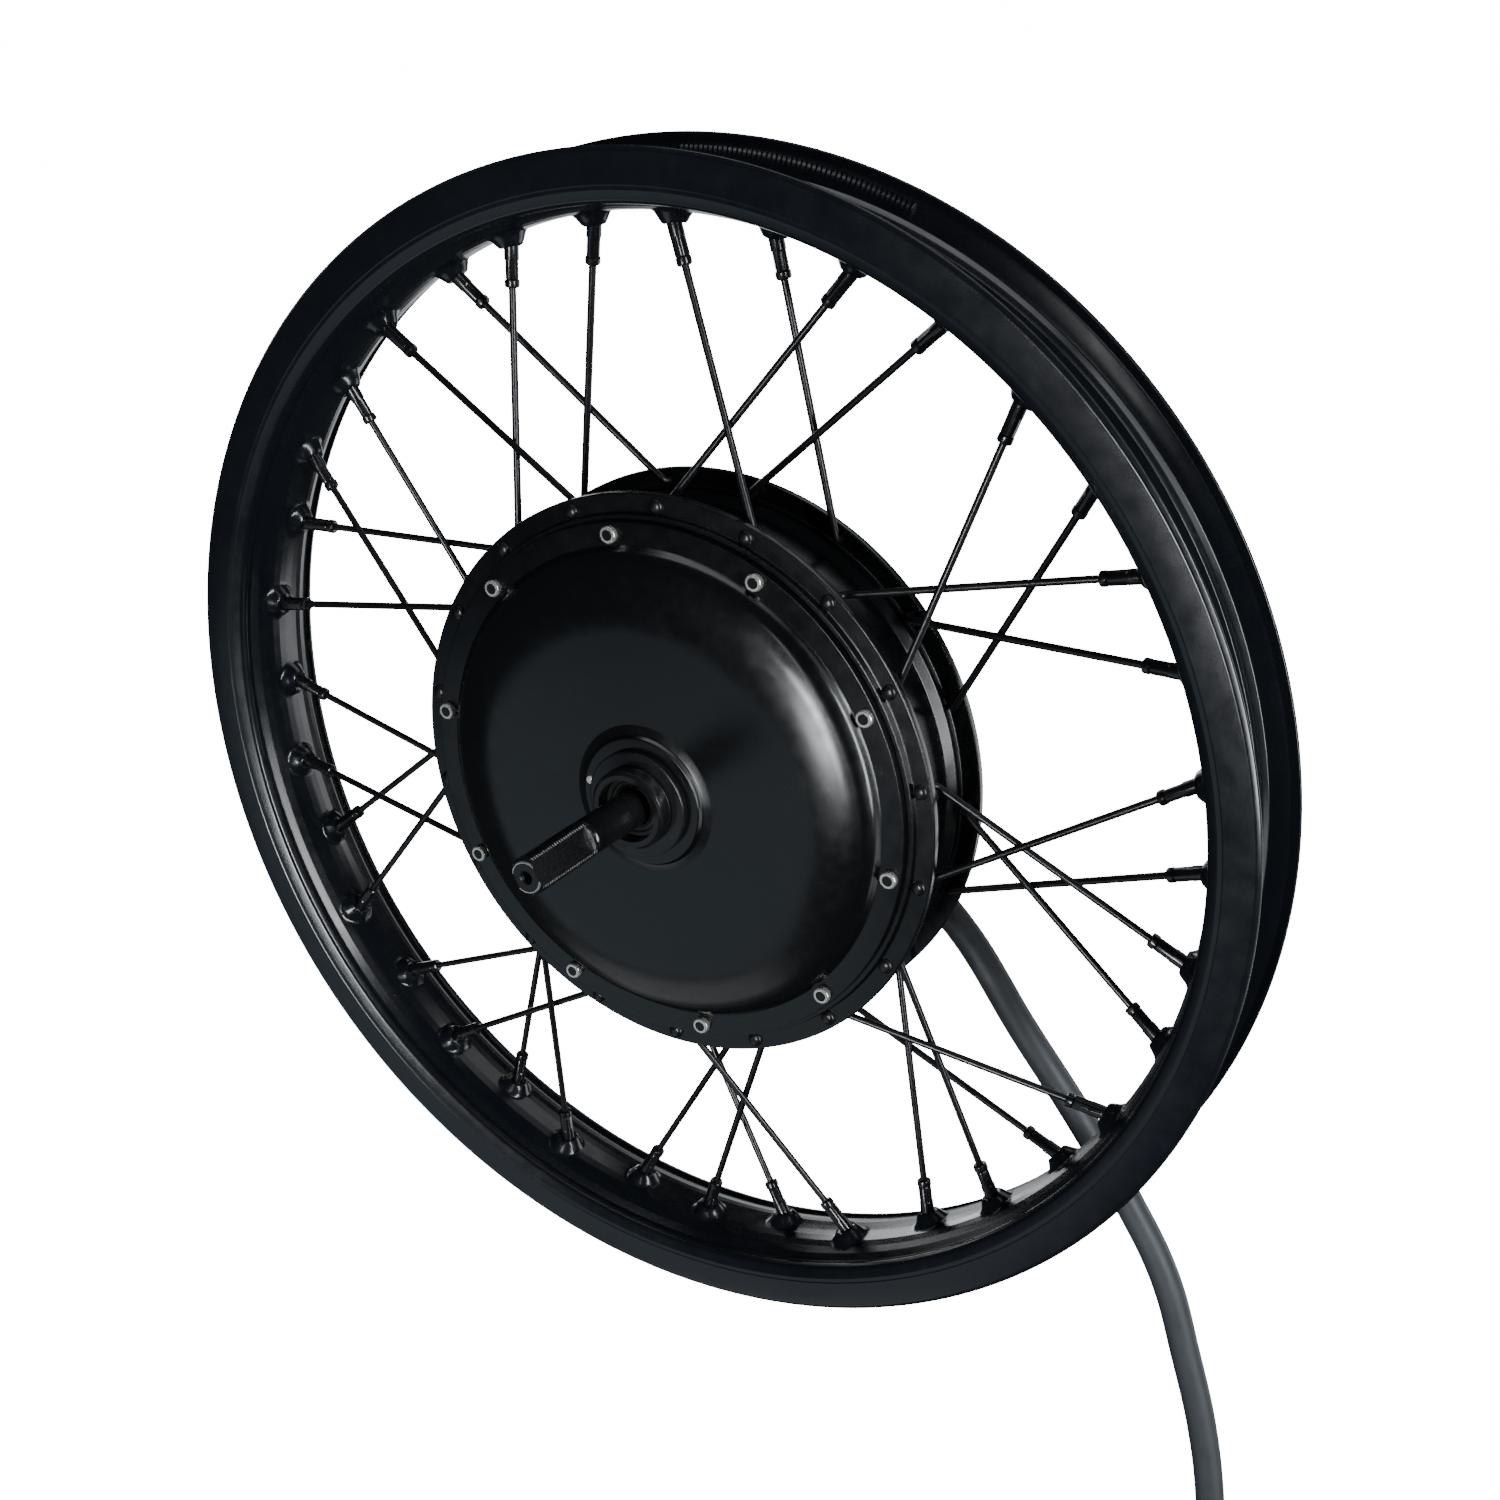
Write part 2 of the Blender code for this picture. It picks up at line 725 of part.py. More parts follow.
def toothed_outline():
    """Stator outline: a straight-sided slot open at the rim between each two teeth."""
    points = []
    for index in range(SLOTS):
        middle = 360.0 / SLOTS * index
        for radius, side in ((CORE_R, -1), (SLOT_FLOOR_R, -1), (SLOT_FLOOR_R, 1), (CORE_R, 1)):
            half = math.degrees(math.asin(SLOT_WIDTH / 2 / radius))
            turn = math.radians(middle + side * half)
            points.append((radius * math.cos(turn), radius * math.sin(turn)))
    return points


def make_stator():
    core = outline_curve(
        "stator_core", [toothed_outline(), circle(CORE_BORE_R, SLOTS)], CORE_HALF
    )
    made = add_object("stator_core", core, SILICON_STEEL)
    made.matrix_world = TO_Y

    coils = turned(
        "windings",
        [
            (SLOT_FLOOR_R + GAP + 0.4, COIL_END),
            (COIL_R, COIL_END),
            (COIL_R, -COIL_END),
            (SLOT_FLOOR_R + GAP + 0.4, -COIL_END),
        ],
        COPPER,
        SLOTS,
        180.0 / SLOTS,
    )

    def tooth_wedges(shape):
        """Tapered tooth-shaped spaces, wider towards the stator's rim."""
        inner_r, outer_r = SLOT_FLOOR_R - 2.0, CORE_R + 2.0
        half_y = CORE_HALF + GAP
        for index in range(SLOTS):
            angle = 360.0 / SLOTS * (index + 0.5)
            corners = []
            for radius in (inner_r, outer_r):
                half = radius * math.sin(math.pi / SLOTS) - SLOT_WIDTH / 2 + GAP
                along = polar(1.0, angle, 0.0)
                across = polar(1.0, angle + 90.0, 0.0)
                for side in (-1, 1):
                    flat = along * radius * math.cos(math.pi / SLOTS) + across * side * half
                    corners.append(flat)
            verts = [
                shape.verts.new((corner + Vector((0.0, y, 0.0))) * MM)
                for y in (-half_y, half_y)
                for corner in corners
            ]
            bmesh.ops.convex_hull(shape, input=verts)

    boolean(coils, cutter("tooth_spaces", tooth_wedges))

    carrier = turned("stator_carrier", carrier_profile(), CAST_ALUMINIUM, ROUND_24)

    def windows(shape):
        web = CARRIER_WEB / 2
        for index in range(WINDOWS):
            angle = 360.0 / WINDOWS * index + 90.0
            rod(
                shape,
                polar(WINDOW_CIRCLE_R, angle, -web - 3.0),
                polar(WINDOW_CIRCLE_R, angle, web + 3.0),
                WINDOW_R,
                12,
            )

    boolean(carrier, cutter("carrier_windows", windows))


def carrier_profile():
    web = CARRIER_WEB / 2
    outer_r = CORE_BORE_R * math.cos(math.pi / SLOTS) - GAP
    upper = [
        (AXLE_BODY_R + GAP, CARRIER_HALF),
        (CARRIER_HUB_R, CARRIER_HALF),
        (CARRIER_HUB_R, web),
        (CARRIER_RING_R, web),
        (CARRIER_RING_R, CARRIER_HALF),
        (outer_r, CARRIER_HALF),
    ]
    return mirrored_profile(upper)


def make_rotor_ring():
    outer_r = SHELL_BORE_R * math.cos(math.pi / ROUND_36) - GAP
    inner = []
    for index in range(POLES):
        middle = 2 * math.pi / POLES * index
        half = math.pi / POLES * MAGNET_FILL
        face_r = MAGNET_FACE_R / math.cos(half)
        for radius, turn in ((YOKE_R, -half), (face_r, -half), (face_r, half), (YOKE_R, half)):
            inner.append((radius * math.cos(middle + turn), radius * math.sin(middle + turn)))
    ring = outline_curve("rotor_magnet_ring", [circle(outer_r, 2 * POLES), inner], CORE_HALF)
    made = add_object("rotor_magnet_ring", ring, MAGNET)
    made.matrix_world = TO_Y


def make_hall_board():
    loop = arc((0.0, 0.0), BOARD_OUTER_R, BOARD_START, BOARD_END, 9)
    loop += reversed(arc((0.0, 0.0), BOARD_INNER_R, BOARD_START, BOARD_END, 9))
    board = outline_curve("hall_sensor_board", [loop], BOARD_HALF_THICK)
    made = add_object("hall_sensor_board", board, BOARD)
    made.matrix_world = Matrix.Translation((0.0, BOARD_Y * MM, 0.0)) @ TO_Y


# ---------------------------------------------------------------- cable

def smooth_route(points, spacing):
    """Read evenly spaced points from a Catmull-Rom curve through a route's points."""
    ends = [2 * points[0] - points[1]] + list(points) + [2 * points[-1] - points[-2]]
    fine = []
    for index in range(1, len(ends) - 2):
        p0, p1, p2, p3 = ends[index - 1:index + 3]
        for step in range(40):
            t = step / 40
            fine.append(
                0.5 * (
                    2 * p1
                    + (p2 - p0) * t
                    + (2 * p0 - 5 * p1 + 4 * p2 - p3) * t * t
                    + (3 * p1 - p0 - 3 * p2 + p3) * t * t * t
                )
            )
    fine.append(points[-1])
    lengths = [0.0]
    for before, after in zip(fine, fine[1:]):
        lengths.append(lengths[-1] + (after - before).length)
    count = max(2, round(lengths[-1] / spacing))
    even = []
    at = 0
    for index in range(count + 1):
        wanted = lengths[-1] * index / count
        while at < len(lengths) - 2 and lengths[at + 1] < wanted:
            at += 1
        share = (wanted - lengths[at]) / (lengths[at + 1] - lengths[at])
        even.append(fine[at].lerp(fine[at + 1], share))
    return even


def make_cable():
    surface = AXLE_BODY_R + GAP
    tip = AXLE_BODY_R + GLAND_LENGTH
    stations = [
        (surface - 4.0, WIRE_WAY_R - GAP),
        (surface, WIRE_WAY_R - GAP),
        (surface + 0.1, GLAND_BASE_R),
        (surface + 8.0, GLAND_BASE_R),
        (surface + 11.0, GLAND_BASE_R - 1.2),
        (tip, GLAND_TIP_R),
    ]
    points = [gland_point(radius) for radius, _ in stations]
    radii = [size for _, size in stations]
    gland = tube_curve("cable_strain_relief", points, GLAND_BASE_R, 4, radii)
    add_object("cable_strain_relief", gland, RUBBER)

    start = gland_point(tip + 2 * GAP)
    route = [start, start + gland_direction() * CABLE_STRAIGHT]
    route += [Vector(point) for point in CABLE_ROUTE]
    cable = tube_curve("motor_cable", smooth_route(route, CABLE_POINT_SPACING), CABLE_R, 3)
    add_object("motor_cable", cable, RUBBER)
    return route[-1]


def make_breakout(cable_end):
    top = cable_end + Vector((0.0, 0.0, -GAP))
    depths = (0.0, 5.0, 16.0, BREAKOUT_LENGTH - 2.0, BREAKOUT_LENGTH)
    radii = [8.2, 8.8, BREAKOUT_R, BREAKOUT_R, BREAKOUT_R - 1.0]
    points = [top + Vector((0.0, 0.0, -depth)) for depth in depths]
    boot = tube_curve("cable_breakout", points, BREAKOUT_R, 4, radii)
    add_object("cable_breakout", boot, RUBBER)
    return points[-1] + Vector((0.0, 0.0, -GAP))


def make_phase_lead(name, face, angle, look):
    """A power lead that fans out of the breakout and ends in a flat ring terminal."""
    outwards = Vector((math.cos(math.radians(angle)), math.sin(math.radians(angle)), 0.0))
    down = Vector((0.0, 0.0, -1.0))
    start = face + outwards * LEAD_CIRCLE_R
    route = []
    for share in (0.0, 0.08, 0.35, 0.6, 0.85, 1.0):
        eased = max(0.0, share - 0.08) / 0.92
        spread = LEAD_SPREAD * (3 * eased ** 2 - 2 * eased ** 3)
        route.append(start + outwards * spread + down * LEAD_LENGTH * share)
    radii = [LEAD_R] * len(route)
    end = route[-1]
    route += [end + down * 0.1, end + down * TERMINAL_BARREL]
    radii += [LEAD_R + 0.9, LEAD_R + 0.9]
    curve = tube_curve(name, route, LEAD_R, 2, radii)
    lead = curve_to_mesh(add_object(name, curve, look))

    palm_centre = end + down * (TERMINAL_BARREL + TERMINAL_R + 1.0)

    def palm(shape):
        side = outwards * (TERMINAL_THICK / 2)
        rod(shape, palm_centre - side, palm_centre + side, TERMINAL_R, 16)

    def neck(shape):
        centre = end + down * (TERMINAL_BARREL + 1.0)
        place = (
            Matrix.Translation(centre * MM)
            @ Matrix.Rotation(math.radians(angle), 4, "Z")
            @ Matrix.Diagonal(((TERMINAL_THICK + 0.6) * MM, 8.0 * MM, 6.0 * MM, 1.0))
        )
        bmesh.ops.create_cube(shape, size=1.0, matrix=place)

    def eye(shape):
        side = outwards * (TERMINAL_THICK / 2 + 3.0)
        rod(shape, palm_centre - side, palm_centre + side, TERMINAL_HOLE_R, 12)

    boolean(lead, cutter(name + "_neck", neck), "UNION")
    boolean(lead, cutter(name + "_palm", palm), "UNION")
    boolean(lead, cutter(name + "_eye", eye))


def make_sensor_lead(face):
    down = Vector((0.0, 0.0, -1.0))
    points = [face, face + down * SENSOR_LENGTH * 0.5, face + down * SENSOR_LENGTH]
    curve = tube_curve("sensor_lead", points, SENSOR_LEAD_R, 2)
    lead = curve_to_mesh(add_object("sensor_lead", curve, PLUG_PLASTIC))

    def plug(shape):
        centre = points[-1] + down * (PLUG_SIZE[2] / 2 - 2.0)
        block(shape, centre, PLUG_SIZE)

    def socket(shape):
        centre = points[-1] + down * (PLUG_SIZE[2] - 2.0)
        block(shape, centre, (PLUG_SIZE[0] - 3.0, PLUG_SIZE[1] - 3.0, 12.0))

    boolean(lead, cutter("sensor_plug_body", plug), "UNION")
    boolean(lead, cutter("sensor_plug_socket", socket))


def build():
    make_rim()
    make_spokes()
    make_hub_shell()
    make_drive_cover()
    make_brake_cover()
    make_freewheel_adapter()
    make_axle()
    make_bearing("drive", DRIVE_BEARING)
    make_bearing("brake", BRAKE_BEARING)
    make_stator()
    make_rotor_ring()
    make_hall_board()
    face = make_breakout(make_cable())
    for name, angle, look in (
        ("phase_lead_yellow", 90.0, YELLOW),
        ("phase_lead_green", 210.0, GREEN),
        ("phase_lead_blue", 330.0, BLUE),
    ):
        make_phase_lead(name, face, angle, look)
    make_sensor_lead(face)


build()
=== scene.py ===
"""Looks of the spoked hub motor wheel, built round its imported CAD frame.

Lengths are in millimetres until they reach a mesh. The wheel turns about Y; the drive
side faces -Y. Angles in the wheel's plane run from +X towards +Z.
"""

import math

import bmesh
import bpy
from mathutils import Matrix, Vector


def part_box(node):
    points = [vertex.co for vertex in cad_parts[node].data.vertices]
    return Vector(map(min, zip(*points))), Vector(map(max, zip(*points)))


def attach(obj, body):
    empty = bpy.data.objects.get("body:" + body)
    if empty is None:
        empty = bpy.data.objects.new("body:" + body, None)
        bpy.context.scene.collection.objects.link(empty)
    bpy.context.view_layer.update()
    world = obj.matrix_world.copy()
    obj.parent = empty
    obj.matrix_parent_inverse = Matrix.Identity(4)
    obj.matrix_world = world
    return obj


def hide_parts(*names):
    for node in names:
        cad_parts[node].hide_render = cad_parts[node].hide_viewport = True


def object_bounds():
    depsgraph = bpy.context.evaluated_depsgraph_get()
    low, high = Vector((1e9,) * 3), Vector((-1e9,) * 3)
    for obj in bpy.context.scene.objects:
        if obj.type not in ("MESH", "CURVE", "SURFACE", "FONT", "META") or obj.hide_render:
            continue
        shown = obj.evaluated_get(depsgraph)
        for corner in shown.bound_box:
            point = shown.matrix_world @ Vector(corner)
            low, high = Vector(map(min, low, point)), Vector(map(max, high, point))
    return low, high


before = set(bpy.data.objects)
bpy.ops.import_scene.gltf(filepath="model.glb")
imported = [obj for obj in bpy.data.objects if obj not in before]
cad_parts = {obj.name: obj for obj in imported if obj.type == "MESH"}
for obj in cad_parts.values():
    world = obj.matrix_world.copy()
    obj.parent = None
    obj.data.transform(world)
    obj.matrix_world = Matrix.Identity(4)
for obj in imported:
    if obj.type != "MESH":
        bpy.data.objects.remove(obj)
CAD_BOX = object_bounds()

MM = 0.001


def reach(node):
    """Largest distance of a CAD node from the axle's line, in millimetres."""
    return max(math.hypot(v.co.x, v.co.z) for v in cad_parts[node].data.vertices) / MM


def far_y(node):
    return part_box(node)[1].y / MM


# Wheel, from the frame
RIM_R = reach("rim")
RIM_HALF = far_y("rim")
FLANGE_R = reach("hub_shell")
SHELL_END = far_y("hub_shell")
COVER_R = reach("drive_cover")
DISC_FACE = far_y("brake_cover")
ADAPTER_END = -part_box("freewheel_adapter")[0].y / MM
ADAPTER_FLANGE_R = reach("freewheel_adapter")
AXLE_END = far_y("axle")

# Lacing
HOLES = 36
HOLE_PITCH = 360.0 / HOLES
WHEEL_PHASE = 1.0
LACE_ANGLE = 2 * HOLE_PITCH
SPOKE_CIRCLE_R = 120.0
SEAT_R = 229.0
RIM_HOLE_OFFSET = 3.0
RIM_HOLE_SPLIT = 1.2
ELBOW_Y = 14.3
ELBOW_SPLIT = 1.9
SPOKE_R = 1.55
NIPPLE_LENGTH = 19.5

# Rim
RIM_STEPS = 1440
BOSS_HEIGHT = 5.2            # punched boss under each nipple
BOSS_SHIFT = 2.5             # how far a boss leans along its spoke
BOSS_TOP = 3.9
BOSS_FOOT = 8.6
NIPPLE_HOLE = 3.4
NIPPLE_HOLE_EDGE = 4.5
NIPPLE_HOLE_SINK = 0.9
WELL_EDGE_R = 235.2          # bosses rise only inside this radius and half width
WELL_HALF = 18.0
TYRE_FLOOR_R = 233.9         # the tyre side's floor starts here and stays plain
TYRE_FLOOR_HALF = 9.0
WELL_STEP = 1.2
KNURL = 0.45                 # depth of the tyre grip on the flanges' inner walls
KNURL_START = 70.0
KNURL_END = 94.0
VALVE_HOLE_R = 4.3

# Hub
FLANGE_OUT = 23.25
FLANGE_IN = 19.6
FLANGE_HOLE_R = 1.95
STEP_R = 116.5
DRUM_R = 113.0
DRUM_BORE_R = 104.0
COVER_FACE = 29.7
COVER_BORE_R = 98.0
DOME_FOOT_R = 105.0
DOME_STEP = 0.5
# Radius and slope in degrees, from the flat face to the foot
DOME_TILTS = ((70.0, 0.0), (92.0, 13.0), (98.0, 21.0), (102.0, 42.0), (104.5, 64.0))
DOME_FACE = 40.5
BOSS_FOOT_R = 31.4
BOSS_R = 27.9
BOSS_FACE = 43.4
PIN_R = 25.0
PIN_ANGLE = 169.0
SCREW_CIRCLE_R = 109.7
SCREWS = 10
SCREW_PHASE = 28.5
SCREW_TWIST = 17.0           # the sockets point every way
SCALLOP_R = 5.6
DISC_HOLES = 6
DISC_HOLE_CIRCLE_R = 22.0
DISC_HOLE_R = 2.1

# Freewheel adapter
ADAPTER_BORE_R = 13.6
ADAPTER_FACE = 46.9
ADAPTER_THREAD_R = 17.4
ADAPTER_PITCH = 1.058

# Axle
AXLE_R = 8.0
AXLE_NECK_R = 7.8
AXLE_THREAD_FOOT_R = 7.1
AXLE_PITCH = 1.5
AXLE_BODY_R = 15.0
THREAD_START = 86.0
FLAT_START = 88.0
FLAT_HALF = 5.3
FLAT_ANGLE = 27.0

# Cable
CABLE_R = 7.0
GLAND_ANGLE = -42.0
GLAND_Y = 63.0
GLAND_START_R = 15.3
GLAND_TIP_R = 55.0
CABLE_START_R = 55.6
CABLE_STRAIGHT = 24.0
LEAD_CIRCLE_R = 6.3
LEAD_SPREAD = 12.0
LEAD_LENGTH = 62.0
LEAD_R = 3.5
SENSOR_LEAD_R = 2.3
CABLE_ROUTE = [
    (88.0, 74.0, -81.0),
    (131.0, 76.0, -137.0),
    (159.0, 76.0, -172.0),
    (187.5, 76.0, -212.0),
    (206.5, 75.0, -243.0),
    (221.0, 74.0, -282.5),
    (234.0, 73.0, -324.0),
    (242.0, 72.0, -364.0),
    (247.0, 72.0, -415.0),
    (249.0, 72.0, -472.0),
    (249.0, 72.0, -540.0),
    (249.0, 72.0, -604.0),
]


# -------- materials

class Look:
    """A Principled material whose colour, roughness and bump vary with procedural noise."""

    def __init__(self, name, color, roughness, metallic=0.0, coat=0.0, specular=0.5):
        self.made = bpy.data.materials.new(name)
        self.made.use_nodes = True
        self.made.diffuse_color = (*color, 1.0)
        self.tree = self.made.node_tree
        self.shader = self.tree.nodes["Principled BSDF"]
        self.color = color
        self.roughness = roughness
        for socket, value in (
            ("Base Color", (*color, 1.0)),
            ("Roughness", roughness),
            ("Metallic", metallic),
            ("Coat Weight", coat),
            ("Coat Roughness", 0.12),
            ("Specular IOR Level", specular),
        ):
            self.shader.inputs[socket].default_value = value
        self.place = self.node("ShaderNodeTexCoord").outputs["Object"]
        self.height = None

    def node(self, kind, **inputs):
        """A new node with some of its inputs set by name."""
        made = self.tree.nodes.new(kind)
        for key, value in inputs.items():
            made.inputs[key.replace("_", " ")].default_value = value
        return made

    def link(self, source, target):
        self.tree.links.new(source, target)

    def stretched(self, scale):
        """Object coordinates scaled by a different amount along each axis."""
        mapping = self.node("ShaderNodeMapping", Scale=scale)
        self.link(self.place, mapping.inputs["Vector"])
        return mapping.outputs["Vector"]

    def noise(self, scale, detail=4.0, rough=0.55, stretch=None):
        made = self.node("ShaderNodeTexNoise", Scale=scale, Detail=detail, Roughness=rough)
        self.link(self.stretched(stretch) if stretch else self.place, made.inputs["Vector"])
        return made.outputs["Fac"]

    def remap(self, source, low, high, start=0.3, end=0.7):
        made = self.node(
            "ShaderNodeMapRange", From_Min=start, From_Max=end, To_Min=low, To_Max=high
        )
        self.link(source, made.inputs["Value"])
        return made.outputs["Result"]

    def math(self, operation, first, second=0.0):
        made = self.node("ShaderNodeMath")
        made.operation = operation
        for socket, value in zip(made.inputs, (first, second)):
            if isinstance(value, (int, float)):
                socket.default_value = value
            else:
                self.link(value, socket)
        return made.outputs[0]

    def axes(self):
        """Object coordinates, and the distance from the object's Y axis."""
        split = self.node("ShaderNodeSeparateXYZ")
        self.link(self.place, split.inputs["Vector"])
        x, y, z = split.outputs
        squares = self.math("ADD", self.math("MULTIPLY", x, x), self.math("MULTIPLY", z, z))
        return x, y, z, self.math("SQRT", squares)

    def vary_color(self, factor, other):
        mix = self.node("ShaderNodeMix")
        mix.data_type = "RGBA"
        for socket in mix.inputs:
            if socket.name == "A" and socket.type == "RGBA":
                socket.default_value = (*self.color, 1.0)
            if socket.name == "B" and socket.type == "RGBA":
                socket.default_value = (*other, 1.0)
        self.link(factor, mix.inputs["Factor"])
        result = [s for s in mix.outputs if s.type == "RGBA"][0]
        self.link(result, self.shader.inputs["Base Color"])

    def vary_roughness(self, source, spread):
        result = self.remap(source, self.roughness - spread, self.roughness + spread)
        self.link(result, self.shader.inputs["Roughness"])

    def bump(self, source, strength, distance):
        made = self.node("ShaderNodeBump", Strength=strength, Distance=distance * MM)
        self.link(source, made.inputs["Height"])
        if self.height is not None:
            self.link(self.height, made.inputs["Normal"])
        self.height = made.outputs["Normal"]
        self.link(self.height, self.shader.inputs["Normal"])


def painted(name, color, lighter, roughness, coat, grain, grain_depth):
    """Painted or anodised metal: cloudy gloss, fine orange peel and specks of dust."""
    look = Look(name, color, roughness, 0.0, coat)
    cloud = look.noise(18.0, 3.0)
    fine = look.noise(grain, 2.0)
    dust = look.remap(look.noise(700.0, 1.0), 0.0, 0.8, 0.80, 0.86)
    shade = look.math("MAXIMUM", look.remap(cloud, 0.0, 0.35), dust)
    look.vary_color(shade, lighter)
    look.vary_roughness(look.math("MULTIPLY", look.math("ADD", cloud, fine), 0.5), 0.06)
    look.bump(fine, 0.35, grain_depth)
    return look.made


def machined(name, color, lighter, roughness, metallic):
    """Turned metal: fine lines round the Y axis and patches of handling."""
    look = Look(name, color, roughness, metallic)
    lines = look.noise(70.0, 3.0, 0.6, (1.0, 30.0, 1.0))
    patches = look.noise(60.0, 3.0)
    look.vary_color(look.remap(patches, 0.0, 0.6), lighter)
    look.vary_roughness(look.math("MULTIPLY", look.math("ADD", lines, patches), 0.5), 0.08)
    look.bump(lines, 0.25, 0.03)
    return look.made


def painted_highlight_thread(name, color, bright, roughness):
    """Blackened thread with painted highlights along the flats' edges and ends and round its own end."""
    look = Look(name, color, roughness, 0.2)
    x, y, z, radius = look.axes()
    turn = math.radians(FLAT_ANGLE)
    along = look.math("MULTIPLY", x, math.cos(turn))
    across = look.math("MULTIPLY", z, math.sin(turn))
    to_flat = look.math("ABSOLUTE", look.math("ADD", along, across))
    length = look.math("ABSOLUTE", y)

    def near(value, middle, width):
        off = look.math("ABSOLUTE", look.math("SUBTRACT", value, middle * MM))
        return look.remap(off, 1.0, 0.0, width * 0.6 * MM, width * MM)

    crest = look.remap(radius, 0.0, 1.0, (AXLE_R - 0.45) * MM, (AXLE_R - 0.3) * MM)
    edges = look.math("MULTIPLY", near(to_flat, FLAT_HALF, 0.6), crest)
    beyond = look.remap(to_flat, 0.0, 1.0, (FLAT_HALF + 0.1) * MM, (FLAT_HALF + 0.3) * MM)
    shoulder = look.math("MULTIPLY", near(length, FLAT_START, 0.55), beyond)
    face_edge = look.math(
        "MULTIPLY", near(length, AXLE_END - 0.1, 0.35), near(radius, AXLE_R - 1.6, 0.4)
    )
    # Painted highlights: bright, more metallic lines along the flats' edges, the flats' ends and the end's
    # chamfer
    painted_highlight = look.math("MAXIMUM", look.math("MAXIMUM", edges, shoulder), face_edge)
    patches = look.noise(500.0, 3.0)
    highlight_mask = look.math("MULTIPLY", painted_highlight, look.remap(patches, 0.7, 1.0, 0.3, 0.55))
    look.vary_color(highlight_mask, bright)
    look.vary_roughness(patches, 0.06)
    look.link(look.remap(painted_highlight, 0.2, 1.0, 0.0, 1.0), look.shader.inputs["Metallic"])
    return look.made


def socket_steel(name, color, shade_color, roughness):
    """Screw steel with painted shade inside the hexagon socket about its own Y axis."""
    look = Look(name, color, roughness, 0.8)
    *_, radius = look.axes()
    # Painted shade: the socket's hollow is darkened in the base colour
    inside = look.remap(radius, 1.0, 0.0, 2.2 * MM, 2.4 * MM)
    patches = look.noise(900.0, 3.0)
    shade = look.math("MAXIMUM", inside, look.remap(patches, 0.0, 0.2))
    look.vary_color(shade, shade_color)
    look.vary_roughness(patches, 0.06)
    return look.made


def soft_plastic(name, color, lighter, roughness, grain, depth):
    """Rubber, silicone or nylon: fine moulded grain and slight scuffs."""
    look = Look(name, color, roughness, 0.0, 0.0, 0.4)
    fine = look.noise(grain, 2.0)
    scuffs = look.noise(70.0, 5.0, 0.65)
    look.vary_color(look.remap(scuffs, 0.0, 0.5), lighter)
    look.vary_roughness(scuffs, 0.08)
    look.bump(fine, 0.5, depth)
    look.bump(scuffs, 0.15, depth * 2)
    return look.made


BLACK_RIM = painted(
    "rim paint", (0.0040, 0.0052, 0.0075), (0.0055, 0.0068, 0.0095), 0.22, 0.0, 120.0, 0.003
)
BLACK_SHELL = painted(
    "hub paint", (0.0022, 0.0026, 0.0031), (0.0032, 0.0038, 0.0045), 0.24, 0.0, 160.0, 0.002
)
BLACK_COVER = painted(
    "cover paint", (0.0022, 0.0026, 0.0031), (0.0032, 0.0038, 0.0045), 0.22, 0.0, 160.0, 0.002
)
BLACK_NIPPLE = painted(
    "nipple finish", (0.004, 0.004, 0.005), (0.008, 0.008, 0.009), 0.24, 0.2, 1500.0, 0.02
)
BLACK_STEEL = machined("blackened steel", (0.006, 0.006, 0.007), (0.014, 0.014, 0.016), 0.22, 0.2)
# The pale second colour is a painted highlight on the thread's edges and end
AXLE_THREAD_STEEL = painted_highlight_thread(
    "axle thread", (0.006, 0.006, 0.007), (0.95, 0.94, 0.92), 0.30
)
BLACK_WIRE = machined("spoke wire", (0.004, 0.004, 0.005), (0.009, 0.009, 0.010), 0.30, 0.1)
# The dark second colour is painted shade inside the screws' sockets
SCREW_STEEL = socket_steel("stainless screw", (0.78, 0.77, 0.73), (0.03, 0.028, 0.025), 0.24)
ZINC = machined("zinc pin", (0.62, 0.60, 0.55), (0.48, 0.46, 0.42), 0.40, 0.2)
BARE_STEEL = machined("ground steel", (0.50, 0.51, 0.53), (0.36, 0.37, 0.39), 0.25, 1.0)
ALUMINIUM = machined("cast aluminium", (0.58, 0.59, 0.60), (0.44, 0.45, 0.46), 0.45, 1.0)
LAMINATION = machined("lamination", (0.17, 0.18, 0.21), (0.10, 0.11, 0.12), 0.45, 0.9)
COPPER = machined("enamelled copper", (0.60, 0.21, 0.08), (0.44, 0.14, 0.05), 0.32, 0.9)
NICKEL = machined("nickel plate", (0.48, 0.48, 0.46), (0.36, 0.36, 0.35), 0.28, 1.0)
TIN = machined("tinned copper", (0.66, 0.65, 0.62), (0.50, 0.49, 0.46), 0.30, 1.0)
RUBBER = soft_plastic("cable rubber", (0.035, 0.039, 0.044), (0.052, 0.057, 0.063), 0.50, 1500.0, 0.04)
BOOT_RUBBER = soft_plastic("boot rubber", (0.011, 0.011, 0.012), (0.024, 0.024, 0.026), 0.62, 900.0, 0.12)
SEAL_RUBBER = soft_plastic("seal rubber", (0.008, 0.008, 0.008), (0.018, 0.018, 0.018), 0.55, 1500.0, 0.08)
YELLOW = soft_plastic("yellow silicone", (0.70, 0.47, 0.02), (0.58, 0.36, 0.02), 0.50, 1300.0, 0.06)
GREEN = soft_plastic("green silicone", (0.02, 0.30, 0.08), (0.02, 0.22, 0.06), 0.50, 1300.0, 0.06)
BLUE = soft_plastic("blue silicone", (0.02, 0.09, 0.46), (0.02, 0.06, 0.34), 0.50, 1300.0, 0.06)
NYLON = soft_plastic("black nylon", (0.014, 0.014, 0.015), (0.026, 0.026, 0.028), 0.45, 800.0, 0.10)
BOARD = soft_plastic("circuit board", (0.01, 0.13, 0.05), (0.01, 0.09, 0.04), 0.40, 500.0, 0.04)


# -------- mesh helpers

